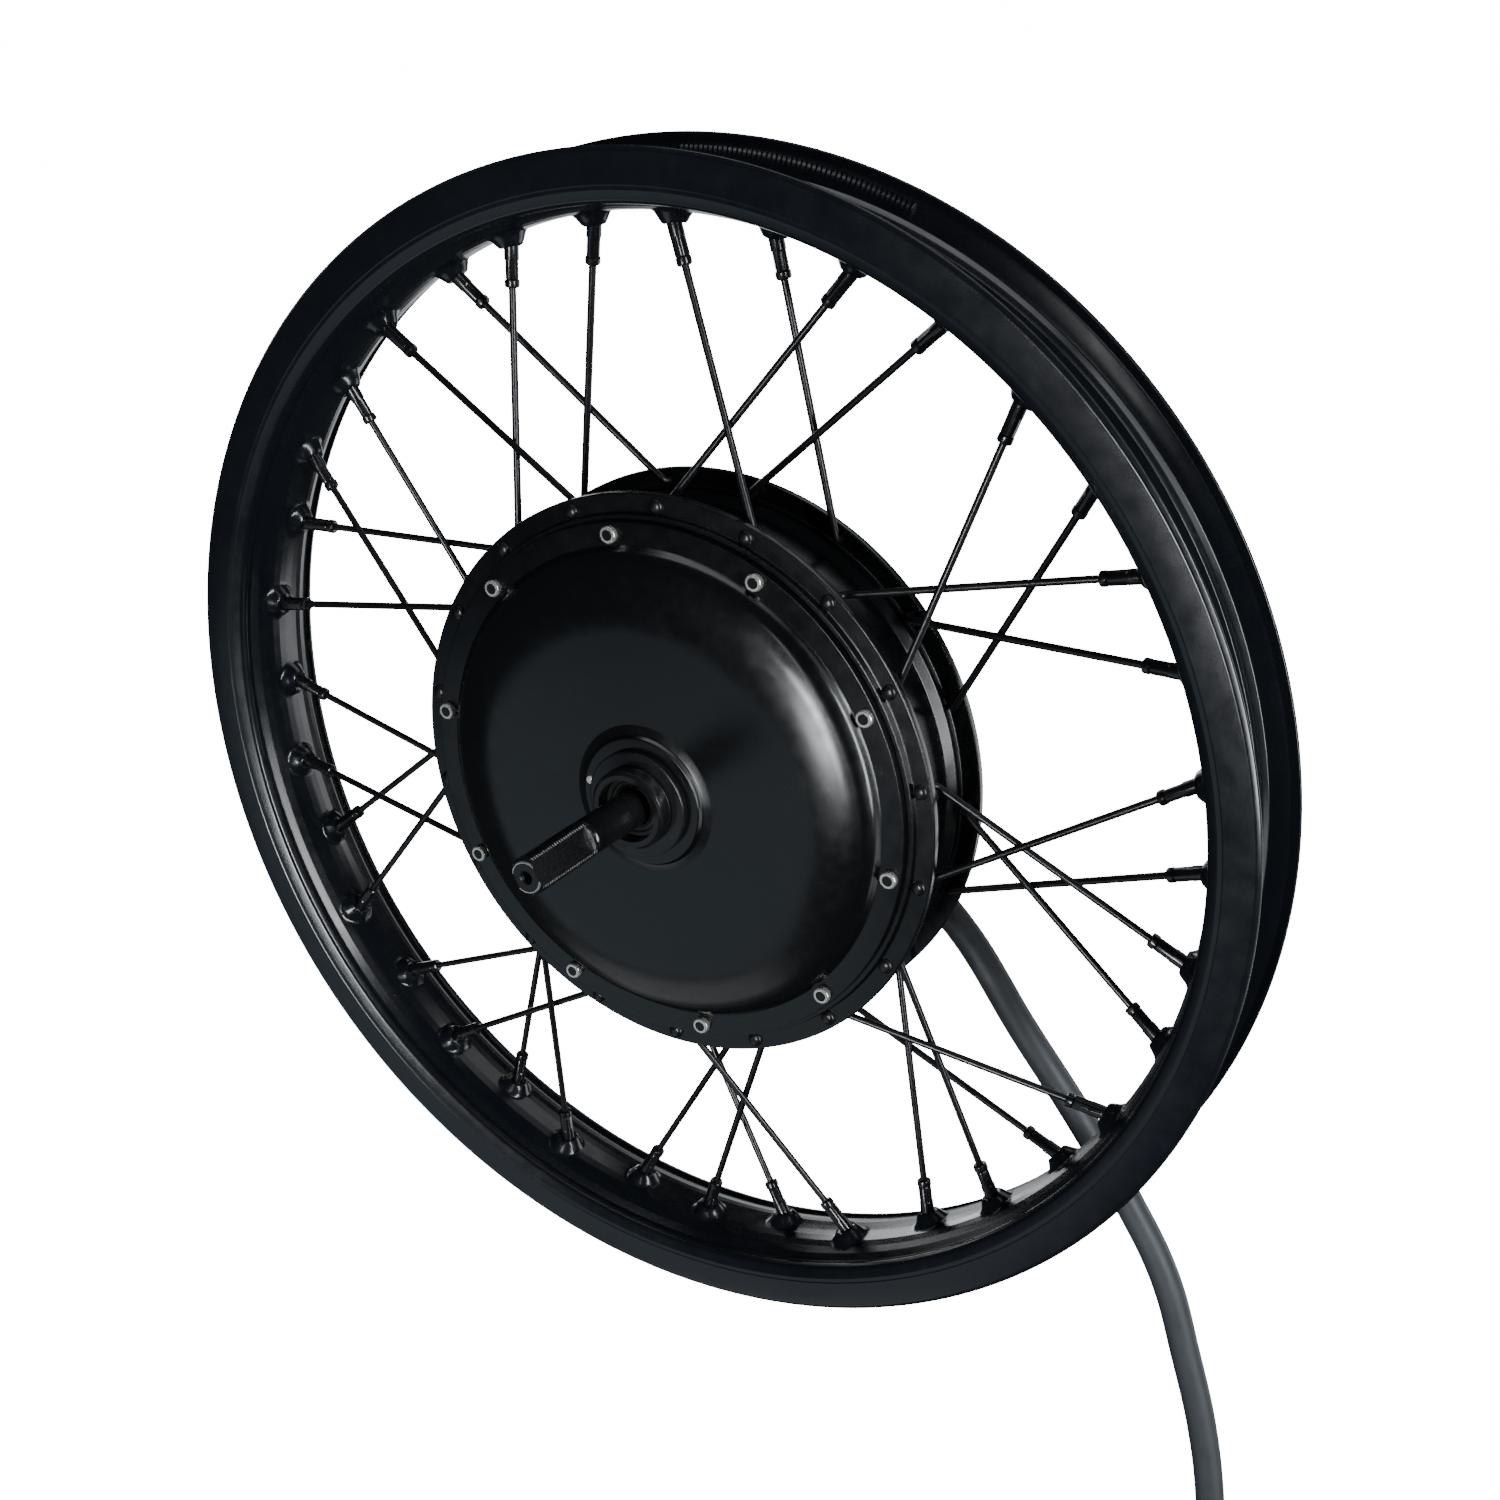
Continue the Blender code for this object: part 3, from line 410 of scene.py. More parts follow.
def add_piece(name, data, look, body, replaces=(), place=None):
    made = bpy.data.objects.new(name, data)
    bpy.context.scene.collection.objects.link(made)
    if not data.materials:
        data.materials.append(look)
    if place is not None:
        made.matrix_world = place
    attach(made, body)
    if replaces:
        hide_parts(*replaces)
    return made


def smooth(mesh, angle=32.0):
    mesh.shade_smooth()
    mesh.set_sharp_from_angle(angle=math.radians(angle))
    return mesh


def mesh_from(name, verts, faces, angle=32.0):
    mesh = bpy.data.meshes.new(name)
    mesh.from_pydata([Vector(v) * MM for v in verts], [], faces)
    mesh.validate()
    return smooth(mesh, angle)


def outward(mesh):
    """Turn every face to the outside."""
    shape = bmesh.new()
    shape.from_mesh(mesh)
    bmesh.ops.recalc_face_normals(shape, faces=shape.faces)
    shape.to_mesh(mesh)
    shape.free()
    return mesh


def rounded(corners, steps=4):
    """Fillet a profile. Each corner is (r, y) or (r, y, fillet radius)."""
    points = []
    count = len(corners)
    for index, corner in enumerate(corners):
        here = Vector(corner[:2])
        radius = corner[2] if len(corner) > 2 else 0.0
        before = Vector(corners[index - 1][:2]) - here
        after = Vector(corners[(index + 1) % count][:2]) - here
        if radius == 0.0 or before.length < 1e-6 or after.length < 1e-6:
            points.append(tuple(here))
            continue
        half = before.angle(after) / 2
        if half > math.radians(89):
            points.append(tuple(here))
            continue
        back = min(radius / math.tan(half), before.length * 0.49, after.length * 0.49)
        start = here + before.normalized() * back
        end = here + after.normalized() * back
        for step in range(steps + 1):
            t = step / steps
            points.append(tuple(start * (1 - t) ** 2 + here * 2 * t * (1 - t) + end * t ** 2))
    return points


def lathe_data(profile, steps, closed=True, angle=32.0, name="turned"):
    """Turn (r, y) points about Y. Points with r = 0 become poles."""
    verts = []
    rows = []
    for r, y in profile:
        if r < 1e-6:
            rows.append([len(verts)] * steps)
            verts.append((0.0, y, 0.0))
            continue
        rows.append(list(range(len(verts), len(verts) + steps)))
        for step in range(steps):
            turn = 2 * math.pi * step / steps
            verts.append((r * math.cos(turn), y, r * math.sin(turn)))
    faces = []
    pairs = list(zip(rows, rows[1:])) + ([(rows[-1], rows[0])] if closed else [])
    for lower, upper in pairs:
        for step in range(steps):
            after = (step + 1) % steps
            corners = [lower[step], lower[after], upper[after], upper[step]]
            face = list(dict.fromkeys(corners))
            if len(face) > 2:
                faces.append(face)
    return outward(mesh_from(name, verts, faces, angle))


def smoothstep(low, high, value):
    t = min(1.0, max(0.0, (value - low) / (high - low)))
    return t * t * (3 - 2 * t)


def polar(radius, angle, y):
    turn = math.radians(angle)
    return Vector((radius * math.cos(turn), y, radius * math.sin(turn)))


def frame_along(direction):
    """Rotation that takes +Y to a direction."""
    return Vector((0.0, 1.0, 0.0)).rotation_difference(Vector(direction)).to_matrix().to_4x4()


def placed(point, direction=(0.0, 1.0, 0.0)):
    return Matrix.Translation(Vector(point) * MM) @ frame_along(direction)


def sweep_data(name, points, radii, sides=12, shape=None, angle=40.0):
    """A closed tube through points, with a radius at each; shape(angle, index) scales it."""
    points = [Vector(p) for p in points]
    verts = []
    tangent = (points[1] - points[0]).normalized()
    side = tangent.orthogonal().normalized()
    for index, point in enumerate(points):
        before = points[max(0, index - 1)]
        after = points[min(len(points) - 1, index + 1)]
        if (after - before).length > 1e-9:
            turned = (after - before).normalized()
            side = tangent.rotation_difference(turned) @ side
            tangent = turned
        other = tangent.cross(side)
        for step in range(sides):
            turn = 2 * math.pi * step / sides
            scale = shape(turn, index) if shape else 1.0
            verts.append(point + (side * math.cos(turn) + other * math.sin(turn)) * radii[index] * scale)
    faces = []
    for row in range(len(points) - 1):
        for step in range(sides):
            after = (step + 1) % sides
            low, high = row * sides, (row + 1) * sides
            faces.append((low + step, low + after, high + after, high + step))
    faces.append(tuple(reversed(range(sides))))
    faces.append(tuple(range((len(points) - 1) * sides, len(points) * sides)))
    return mesh_from(name, verts, faces, angle)


def bent(points, radius, steps=6):
    """Round each inner corner of a path of points."""
    points = [Vector(p) for p in points]
    made = [points[0]]
    for before, here, after in zip(points, points[1:], points[2:]):
        back = min(radius, (before - here).length * 0.45, (after - here).length * 0.45)
        start = here + (before - here).normalized() * back
        end = here + (after - here).normalized() * back
        for step in range(steps + 1):
            t = step / steps
            made.append(start * (1 - t) ** 2 + here * 2 * t * (1 - t) + end * t ** 2)
    made.append(points[-1])
    return made


def rod(shape, start, end, radius, sides=24, end_radius=None):
    start, end = Vector(start) * MM, Vector(end) * MM
    run = end - start
    turn = Vector((0.0, 0.0, 1.0)).rotation_difference(run).to_matrix().to_4x4()
    bmesh.ops.create_cone(
        shape,
        cap_ends=True,
        segments=sides,
        radius1=radius * MM,
        radius2=(radius if end_radius is None else end_radius) * MM,
        depth=run.length,
        matrix=Matrix.Translation((start + end) / 2) @ turn,
    )


def box_shape(shape, centre, size, angle=0.0):
    bmesh.ops.create_cube(
        shape,
        size=1.0,
        matrix=Matrix.Translation(Vector(centre) * MM)
        @ Matrix.Rotation(math.radians(-angle), 4, "Y")
        @ Matrix.Diagonal((size[0] * MM, size[1] * MM, size[2] * MM, 1.0)),
    )


def cut(mesh, build, operation="DIFFERENCE", angle=32.0):
    """Cut built shapes out of a mesh, or join them to it, and return the new mesh."""
    shape = bmesh.new()
    build(shape)
    tool_mesh = bpy.data.meshes.new("cutter")
    shape.to_mesh(tool_mesh)
    shape.free()
    target = bpy.data.objects.new("target", mesh)
    tool = bpy.data.objects.new("cutter", tool_mesh)
    for thing in (target, tool):
        bpy.context.scene.collection.objects.link(thing)
    change = target.modifiers.new("cut", "BOOLEAN")
    change.operation = operation
    change.solver = "EXACT"
    change.object = tool
    graph = bpy.context.evaluated_depsgraph_get()
    made = bpy.data.meshes.new_from_object(target.evaluated_get(graph))
    bpy.data.objects.remove(target)
    bpy.data.objects.remove(tool)
    made.materials.clear()
    return smooth(made, angle)


# -------- camera, floor and light

CAMERA_PLACE = (422.0, -675.5, 346.8)
CAMERA_AZIMUTH = 29.88
CAMERA_ELEVATION = 26.31
CAMERA_LENS = 48.32
CAMERA_SHIFT = (-0.0093, 0.0753)
FLOOR_DROP = 12.0            # millimetres under the cable's end
FLOOR_R = 14.0
COVE_R = 6.0
WALL_TOP = 40.0
FLOOR_GLOW = 16.0
WORLD_COLOR = (0.80, 0.90, 1.0, 1.0)
WORLD_STRENGTH = 0.04
SOFT_WHITE = (0.93, 0.97, 1.0)
FILL_COLOR = (0.72, 0.87, 1.0)
# Name, place, width and height in metres, watts, colour; each faces the hub's centre
LAMPS = (
    ("front_box", (0.08, -2.18, -0.18), (0.36, 0.62), 30.0, SOFT_WHITE),
    ("right_strip", (1.88, -0.75, 0.35), (0.28, 1.5), 44.0, SOFT_WHITE),
    ("front_strip", (0.35, -2.20, 0.75), (0.20, 0.9), 2.5, SOFT_WHITE),
    ("low_fill", (-1.15, -1.70, -1.20), (1.4, 1.1), 2.6, FILL_COLOR),
    ("under_card", (-0.75, -0.90, -1.60), (1.2, 0.5), 1.6, SOFT_WHITE),
    ("top_box", (0.0, -0.1, 2.1), (2.2, 0.45), 9.0, SOFT_WHITE),
    ("upper_right_box", (1.55, -0.1, 1.35), (0.5, 1.1), 5.0, SOFT_WHITE),
    ("right_low_box", (1.80, 0.0, -0.95), (0.5, 1.1), 4.0, SOFT_WHITE),
    ("back_right_box", (1.2, 1.9, -0.55), (0.9, 1.7), 12.0, SOFT_WHITE),
    ("left_strip", (-1.9, 0.6, 0.7), (0.25, 1.2), 3.0, SOFT_WHITE),
    ("back_box", (0.3, 1.6, 1.6), (1.6, 0.8), 5.0, SOFT_WHITE),
    ("back_left_box", (-1.6, 1.5, 0.1), (0.4, 1.4), 9.0, SOFT_WHITE),
    ("back_low_fill", (-0.85, 1.95, -0.50), (1.5, 0.9), 5.0, SOFT_WHITE),
)


def make_camera():
    data = bpy.data.cameras.new("camera")
    camera = bpy.data.objects.new("camera", data)
    bpy.context.scene.collection.objects.link(camera)
    azimuth, elevation = math.radians(CAMERA_AZIMUTH), math.radians(CAMERA_ELEVATION)
    forward = Vector(
        (
            -math.sin(azimuth) * math.cos(elevation),
            math.cos(azimuth) * math.cos(elevation),
            -math.sin(elevation),
        )
    )
    camera.location = Vector(CAMERA_PLACE) * MM
    camera.rotation_euler = forward.to_track_quat("-Z", "Y").to_euler()
    data.sensor_width = 36.0
    data.lens = CAMERA_LENS
    data.shift_x, data.shift_y = CAMERA_SHIFT
    data.clip_start = 0.01
    data.clip_end = 300.0
    bpy.context.scene.camera = camera


def area_light(name, place, size, power, color):
    """A lamp that faces the hub's centre."""
    data = bpy.data.lights.new(name, "AREA")
    data.shape = "RECTANGLE"
    data.size, data.size_y = size
    data.energy = power
    data.color = color
    lamp = bpy.data.objects.new(name, data)
    bpy.context.scene.collection.objects.link(lamp)
    lamp.visible_camera = False
    lamp.location = place
    lamp.rotation_euler = (-Vector(place)).to_track_quat("-Z", "Y").to_euler()


def make_floor():
    """A pale round floor that curves up into a wall, and glows without lighting the wheel."""
    level = CAD_BOX[0][2] - FLOOR_DROP * MM
    profile = [(0.0, level), (FLOOR_R, level)]
    for turn in range(10, 91, 10):
        angle = math.radians(turn)
        profile.append(
            (FLOOR_R + COVE_R * math.sin(angle), level + COVE_R * (1.0 - math.cos(angle)))
        )
    profile.append((FLOOR_R + COVE_R, level + WALL_TOP))
    shape = bmesh.new()
    points = [shape.verts.new((r, 0.0, z)) for r, z in profile]
    edges = [shape.edges.new(pair) for pair in zip(points, points[1:])]
    bmesh.ops.spin(
        shape,
        geom=points + edges,
        cent=(0.0, 0.0, 0.0),
        axis=(0.0, 0.0, 1.0),
        angle=2 * math.pi,
        steps=96,
        use_merge=True,
    )
    bmesh.ops.remove_doubles(shape, verts=shape.verts, dist=0.0001)
    mesh = bpy.data.meshes.new("floor")
    shape.to_mesh(mesh)
    shape.free()
    mesh.shade_smooth()
    floor = bpy.data.objects.new("floor", mesh)
    bpy.context.scene.collection.objects.link(floor)
    look = Look("pale floor", (0.88, 0.88, 0.88), 0.85, 0.0, 0.0, 0.2)
    look.vary_color(look.remap(look.noise(2.0, 3.0), 0.0, 1.0), (0.86, 0.86, 0.865))
    look.shader.inputs["Emission Color"].default_value = (1.0, 1.0, 1.0, 1.0)
    look.shader.inputs["Emission Strength"].default_value = FLOOR_GLOW
    mesh.materials.append(look.made)
    floor.visible_glossy = False
    floor.visible_diffuse = False
    floor.visible_shadow = False


def make_studio():
    make_floor()
    world = bpy.data.worlds.new("studio")
    world.use_nodes = True
    world.node_tree.nodes["Background"].inputs["Color"].default_value = WORLD_COLOR
    world.node_tree.nodes["Background"].inputs["Strength"].default_value = WORLD_STRENGTH
    bpy.context.scene.world = world

    for name, place, size, power, color in LAMPS:
        area_light(name, place, size, power, color)


# -------- cable

def gland_axis():
    return polar(1.0, GLAND_ANGLE, 0.0)


def gland_point(radius):
    return polar(radius, GLAND_ANGLE, GLAND_Y)


def bezier_tube(name, points, radius, look, steps=10):
    curve = bpy.data.curves.new(name, "CURVE")
    curve.dimensions = "3D"
    curve.bevel_depth = radius * MM
    curve.bevel_resolution = 7
    curve.resolution_u = steps
    curve.use_fill_caps = True
    spline = curve.splines.new("BEZIER")
    spline.bezier_points.add(len(points) - 1)
    for knot, point in zip(spline.bezier_points, points):
        knot.co = Vector(point) * MM
        knot.handle_left_type = "AUTO"
        knot.handle_right_type = "AUTO"
    curve.materials.append(look)
    return curve


def make_strain_relief():
    length = GLAND_TIP_R - GLAND_START_R
    outline = [(0.0, 0.0), (10.4, 0.0, 0.5), (10.4, 3.2, 0.6), (9.4, 3.8, 0.4), (9.4, 6.6, 0.6)]
    ribs = 6
    start = 8.0
    pitch = (length - start - 4.0) / ribs
    for index in range(ribs):
        share = index / (ribs - 1)
        outer = 9.9 - 1.3 * share
        inner = outer - 1.7
        at = start + pitch * index
        outline += [(inner, at, 0.4), (outer, at + 0.5, 0.5), (outer, at + pitch * 0.55, 0.5)]
        outline += [(inner - 0.1, at + pitch * 0.65, 0.4)]
    outline += [(8.5, length - 3.0, 0.4), (8.3, length, 0.6), (CABLE_R + 0.05, length, 0.2)]
    outline += [(CABLE_R + 0.05, length - 6.0), (0.0, length - 6.0)]
    data = lathe_data(rounded(outline, 3), 64, closed=False, name="strain_relief")
    place = placed(gland_point(GLAND_START_R), gland_axis())
    replaced = ["cable_strain_relief"]
    name = "cable_strain_relief_boot"
    add_piece(name, data, BOOT_RUBBER, "stator_axle", replaced, place)


def make_terminal(name, top, outwards):
    """A crimped ring terminal: a barrel, a flat neck and an eye, hanging straight down."""
    barrel = rounded(
        [(0.0, 0.0), (4.1, 0.0, 0.3), (4.3, 1.0, 0.3), (3.7, 4.5, 0.5), (4.1, 7.5, 0.5)]
        + [(3.6, 10.5, 0.5), (4.0, 13.5, 0.4), (3.2, 15.5, 0.4), (0.0, 16.0)],
        3,
    )
    data = lathe_data(barrel, 32, closed=False, name=name)

    def tongue(shape):
        half = Vector((0.0, 0.0, 0.9))
        rod(shape, Vector((0.0, 22.0, 0.0)) - half, Vector((0.0, 22.0, 0.0)) + half, 6.9, 40)
        box_shape(shape, (0.0, 15.5, 0.0), (7.4, 7.0, 1.75))

    def eye(shape):
        rod(shape, (0.0, 22.0, -5.0), (0.0, 22.0, 5.0), 3.2, 32)

    data = cut(cut(data, tongue, "UNION"), eye)
    down = Vector((0.0, 0.0, -1.0))
    side = down.cross(outwards)
    turn = Matrix((side, down, outwards)).transposed().to_4x4()
    return add_piece(
        name, data, TIN, "stator_axle", (), Matrix.Translation(Vector(top) * MM) @ turn
    )


def make_cable():
    start = gland_point(CABLE_START_R)
    inside = start - gland_axis() * 5.0
    route = [start, start + gland_axis() * CABLE_STRAIGHT] + [Vector(p) for p in CABLE_ROUTE]
    curve = bezier_tube("motor_cable_jacket", route, CABLE_R, RUBBER)
    cable = add_piece(
        "motor_cable_jacket", curve, RUBBER, "stator_axle", ["motor_cable"]
    )
    outline = rounded([(0.0, 0.0), (CABLE_R - 0.05, 0.0), (CABLE_R - 0.05, 5.8), (0.0, 5.8)])
    plug = lathe_data(outline, 32, closed=False, name="cable_core")
    add_piece("cable_core", plug, RUBBER, "stator_axle", (), placed(inside, gland_axis()))
    pieces = make_breakout(route[-1])


def make_breakout(cable_end):
    """Moulded boot where the jacket ends, with three power leads and a sensor lead."""
    down = Vector((0.0, 0.0, -1.0))
    top = cable_end + down * 0.3
    outline = [(0.0, 0.0), (8.2, 0.0, 0.6), (8.5, 4.0, 0.8), (9.2, 6.0, 0.8), (8.8, 8.0, 0.6)]
    outline += [(10.2, 13.0, 3.0), (11.0, 18.0, 3.0), (11.0, 36.0, 2.0), (10.2, 40.0, 1.5), (0.0, 40.0)]
    mesh = lathe_data(rounded(outline, 4), 64, closed=False, name="breakout")
    name = "cable_breakout_boot"
    replaced = ["cable_breakout"]
    boot = add_piece(name, mesh, BOOT_RUBBER, "stator_axle", replaced, placed(top, down))
    pieces = [boot]
    face = top + down * 40.3
    leads = (("yellow", 90.0, YELLOW), ("green", 210.0, GREEN), ("blue", 330.0, BLUE))
    for color, angle, look in leads:
        outwards = Vector((math.cos(math.radians(angle)), math.sin(math.radians(angle)), 0.0))
        points = []
        for share in (0.0, 0.08, 0.35, 0.6, 0.85, 1.0):
            eased = max(0.0, share - 0.08) / 0.92
            spread = LEAD_SPREAD * smoothstep(0.0, 1.0, eased)
            points.append(face + outwards * (LEAD_CIRCLE_R + spread) + down * LEAD_LENGTH * share)
        curve = bezier_tube(f"phase_lead_{color}_wire", points, LEAD_R, look, 8)
        lead = add_piece(
            f"phase_lead_{color}_wire", curve, look, "stator_axle",
            [f"phase_lead_{color}"],
        )
        pieces.append(lead)
        pieces.append(make_terminal(f"ring_terminal_{color}", points[-1] + down * 0.1, outwards))
    pieces += make_sensor_lead(face)
    return pieces


def make_sensor_lead(face):
    down = Vector((0.0, 0.0, -1.0))
    points = [face, face + down * 16.0, face + down * 32.0, face + down * 48.0]
    curve = bezier_tube("sensor_lead_jacket", points, SENSOR_LEAD_R, NYLON, 6)
    lead = add_piece(
        "sensor_lead_jacket", curve, NYLON, "stator_axle", ["sensor_lead"]
    )

    plug = bpy.data.meshes.new("sensor_plug")
    shape = bmesh.new()
    box_shape(shape, (0.0, 0.0, -11.0), (15.0, 9.0, 26.0))
    bmesh.ops.bevel(
        shape, geom=list(shape.edges), offset=0.9 * MM, segments=3, profile=0.5, affect="EDGES"
    )
    shape.to_mesh(plug)
    shape.free()

    def details(shape):
        box_shape(shape, (0.0, 0.0, -20.0), (12.4, 6.4, 14.0))
        for side in (-1, 1):
            for step in range(4):
                box_shape(shape, (side * 7.6, 0.0, 0.5 - 2.2 * step), (1.0, 6.0, 0.9))

    plug = cut(smooth(plug), details)
    piece = add_piece(
        "sensor_plug", plug, NYLON, "stator_axle", (), Matrix.Translation(points[-1] * MM)
    )
    return [lead, piece]


# -------- lacing

def lacing():
    """Side, angles at the rim and at the hub, and split of each spoke in turn."""
    for index in range(HOLES):
        rim_angle = WHEEL_PHASE + index * HOLE_PITCH
        side = -1 if index % 2 else 1
        leading = index % 4 in (0, 1)
        hub_angle = rim_angle + (-LACE_ANGLE if leading else LACE_ANGLE)
        yield side, rim_angle, hub_angle, (1 if leading else -1)


def spoke_ends(side, rim_angle, hub_angle, split):
    hole = polar(SPOKE_CIRCLE_R, hub_angle, 0.0)
    seat = polar(SEAT_R, rim_angle, side * (RIM_HOLE_OFFSET + split * RIM_HOLE_SPLIT))
    elbow = Vector((hole.x, side * (ELBOW_Y + split * ELBOW_SPLIT), hole.z))
    return hole, elbow, seat


def make_spokes():
    """One wire and one nipple for each CAD spoke, from four shared meshes of each."""
    wires = {}
    nipples = {}
    counts = {-1: 0, 1: 0}
    for side, rim_angle, hub_angle, split in lacing():
        key = (side, split)
        if key not in wires:
            wires[key] = (rim_angle, spoke_mesh(side, rim_angle, hub_angle, split))
            nipples[key] = (rim_angle, nipple_mesh(side, rim_angle, hub_angle, split))
        counts[side] += 1
        side_name = "brake" if side > 0 else "drive"
        number = f"{counts[side]:02d}"
        first_angle, mesh = wires[key]
        turn = Matrix.Rotation(math.radians(first_angle - rim_angle), 4, "Y")
        replaced = [f"{side_name}_spoke_{number}"]
        name = f"{side_name}_spoke_wire_{number}"
        add_piece(name, mesh, BLACK_WIRE, "wheel", replaced, turn)
        name = f"{side_name}_nipple_{number}"
        add_piece(name, nipples[key][1], BLACK_NIPPLE, "wheel", (), turn)


def spoke_mesh(side, rim_angle, hub_angle, split):
    hole, elbow, seat = spoke_ends(side, rim_angle, hub_angle, split)
    along = (seat - elbow).normalized()
    face = side * FLANGE_OUT
    outward = Vector((0.0, side, 0.0))
    on_face = Vector((hole.x, face, hole.z))
    head = [(1.9, 0.4), (1.75, 1.6), (1.4, 2.5), (0.9, 3.1), (0.35, 3.3), (0.0, 3.3)]
    points = [on_face + outward * height for height, _ in head]
    radii = [radius for _, radius in head]
    points.append(on_face - outward * 0.6)
    radii.append(SPOKE_R * 1.25)
    bend = bent([on_face - outward * 1.0, elbow, seat - along * (NIPPLE_LENGTH - 6.0)], 5.5, 7)
    points += bend
    radii += [SPOKE_R] * len(bend)
    return sweep_data("spoke_wire", points, radii, 14)


def nipple_mesh(side, rim_angle, hub_angle, split):
    _, elbow, seat = spoke_ends(side, rim_angle, hub_angle, split)
    along = (seat - elbow).normalized()
    stations = [(-19.4, 1.62), (-19.5, 2.4), (-19.1, 2.95), (-18.6, 3.1), (-16.6, 3.1)]
    stations += [(-16.1, 2.75), (-15.6, 2.95), (-9.0, 2.95), (-8.4, 3.05), (0.5, 3.05)]
    stations += [(2.0, 4.0), (6.0, 4.4), (8.5, 4.0), (9.5, 2.8), (9.6, 0.6)]
    squared = range(5, 8)        # the rows of the spoke key's flats

    def square(turn, row):
        if row not in squared:
            return 1.0
        corner = abs(((turn + math.pi / 4) % (math.pi / 2)) - math.pi / 4)
        return min(1.0, 0.88 / math.cos(corner))

    points = [seat + along * at for at, _ in stations]
    radii = [radius for _, radius in stations]
    return sweep_data("nipple", points, radii, 32, square, 30.0)


# -------- rim

def rim_profile():
    """Closed cross-section, from the hub side's middle to +Y, over the lip and back."""
    band = [(234.2, 21.3, 0.6), (235.4, 24.2, 3.0), (239.8, 26.0, 2.0), (241.4, 26.1, 0.2)]
    band += [(241.9, RIM_HALF, 0.2)]
    half = (
        [(230.2, 0.0), (230.3, 4.0, 2.0), (230.7, 8.0, 3.0), (231.6, 11.6, 3.0)]
        + [(233.0, 15.2, 3.0), (234.8, 18.6, 2.0), (235.4, 20.6, 0.25)]
        + band
        + [(RIM_R - 2.0, RIM_HALF, 1.6), (RIM_R, RIM_HALF - 1.6, 1.2), (RIM_R - 0.4, RIM_HALF - 3.0, 0.8)]
        + [(252.0, 23.3, 2.0), (251.0, 22.8), (245.6, 21.4), (244.2, 21.0, 1.2), (242.4, 18.6, 1.2)]
        + [(243.2, 14.2, 0.8)]
        + [(242.4, 12.8, 0.8), (236.0, 9.6, 3.0), (234.0, 7.6, 3.0), (234.0, 0.0)]
    )
    hub_side = half[:-1]
    mirrored = [(p[0], -p[1], *p[2:]) for p in reversed(half[1:-1])]
    return rounded(hub_side + [half[-1]] + mirrored, 5)


def resample(points, longest):
    """Split the long stretches of the rim's profile on the well's hub side."""
    made = []
    for here, after in zip(points, points[1:] + points[:1]):
        made.append(here)
        length = math.dist(here, after)
        near_well = max(here[0], after[0]) < 236.0 and max(abs(here[1]), abs(after[1])) < 19.5
        hub_facing = min(here[0], after[0]) < TYRE_FLOOR_R
        count = math.ceil(length / longest) if near_well and hub_facing else 1
        for step in range(1, count):
            t = step / count
            made.append((here[0] + (after[0] - here[0]) * t, here[1] + (after[1] - here[1]) * t))
    return made


def knurl_band(radius, height):
    return 244.8 < radius < 251.5 and 20.8 < height < 23.4


def make_rim():
    profile = resample(rim_profile(), WELL_STEP)
    mesh = lathe_data(profile, RIM_STEPS, name="rim", angle=28.0)
    bosses = []
    for side, rim_angle, hub_angle, split in lacing():
        _, elbow, seat = spoke_ends(side, rim_angle, hub_angle, split)
        lean = (elbow - seat).normalized()
        radial = polar(1.0, rim_angle, 0.0)
        across = lean - radial * lean.dot(radial)
        bosses.append((seat, across / abs(lean.dot(radial))))
    for number, vertex in enumerate(mesh.vertices):
        place = vertex.co / MM
        radius = math.hypot(place.x, place.z)
        turn = math.degrees(math.atan2(place.z, place.x)) % 180.0
        if KNURL_START < turn < KNURL_END and number % 2 and knurl_band(radius, abs(place.y)):
            vertex.co.y -= math.copysign(KNURL, place.y) * MM
        off_well = radius > WELL_EDGE_R or abs(place.y) > WELL_HALF
        if off_well or radius > TYRE_FLOOR_R and abs(place.y) < TYRE_FLOOR_HALF:
            continue
        angle = math.degrees(math.atan2(place.z, place.x))
        nearest = round((angle - WHEEL_PHASE) / HOLE_PITCH) % HOLES
        seat, across = bosses[nearest]
        radial = Vector((place.x / radius, 0.0, place.z / radius))
        flat = place - seat
        flat -= radial * flat.dot(radial)
        distance = (flat - across * BOSS_SHIFT).length
        rise = BOSS_HEIGHT * (1.0 - smoothstep(BOSS_TOP, BOSS_FOOT, distance))
        middle = (flat - across * BOSS_HEIGHT).length
        rise -= NIPPLE_HOLE_SINK * (1.0 - smoothstep(NIPPLE_HOLE, NIPPLE_HOLE_EDGE, middle))
        vertex.co -= radial * rise * MM
    valve_angle = WHEEL_PHASE + 9.5 * HOLE_PITCH

    def valve(shape):
        rod(shape, polar(220.0, valve_angle, 0.0), polar(240.0, valve_angle, 0.0), VALVE_HOLE_R, 32)

    mesh = cut(mesh, valve, angle=28.0)
    add_piece("rim_extrusion", mesh, BLACK_RIM, "wheel", ["rim"])


# -------- hub

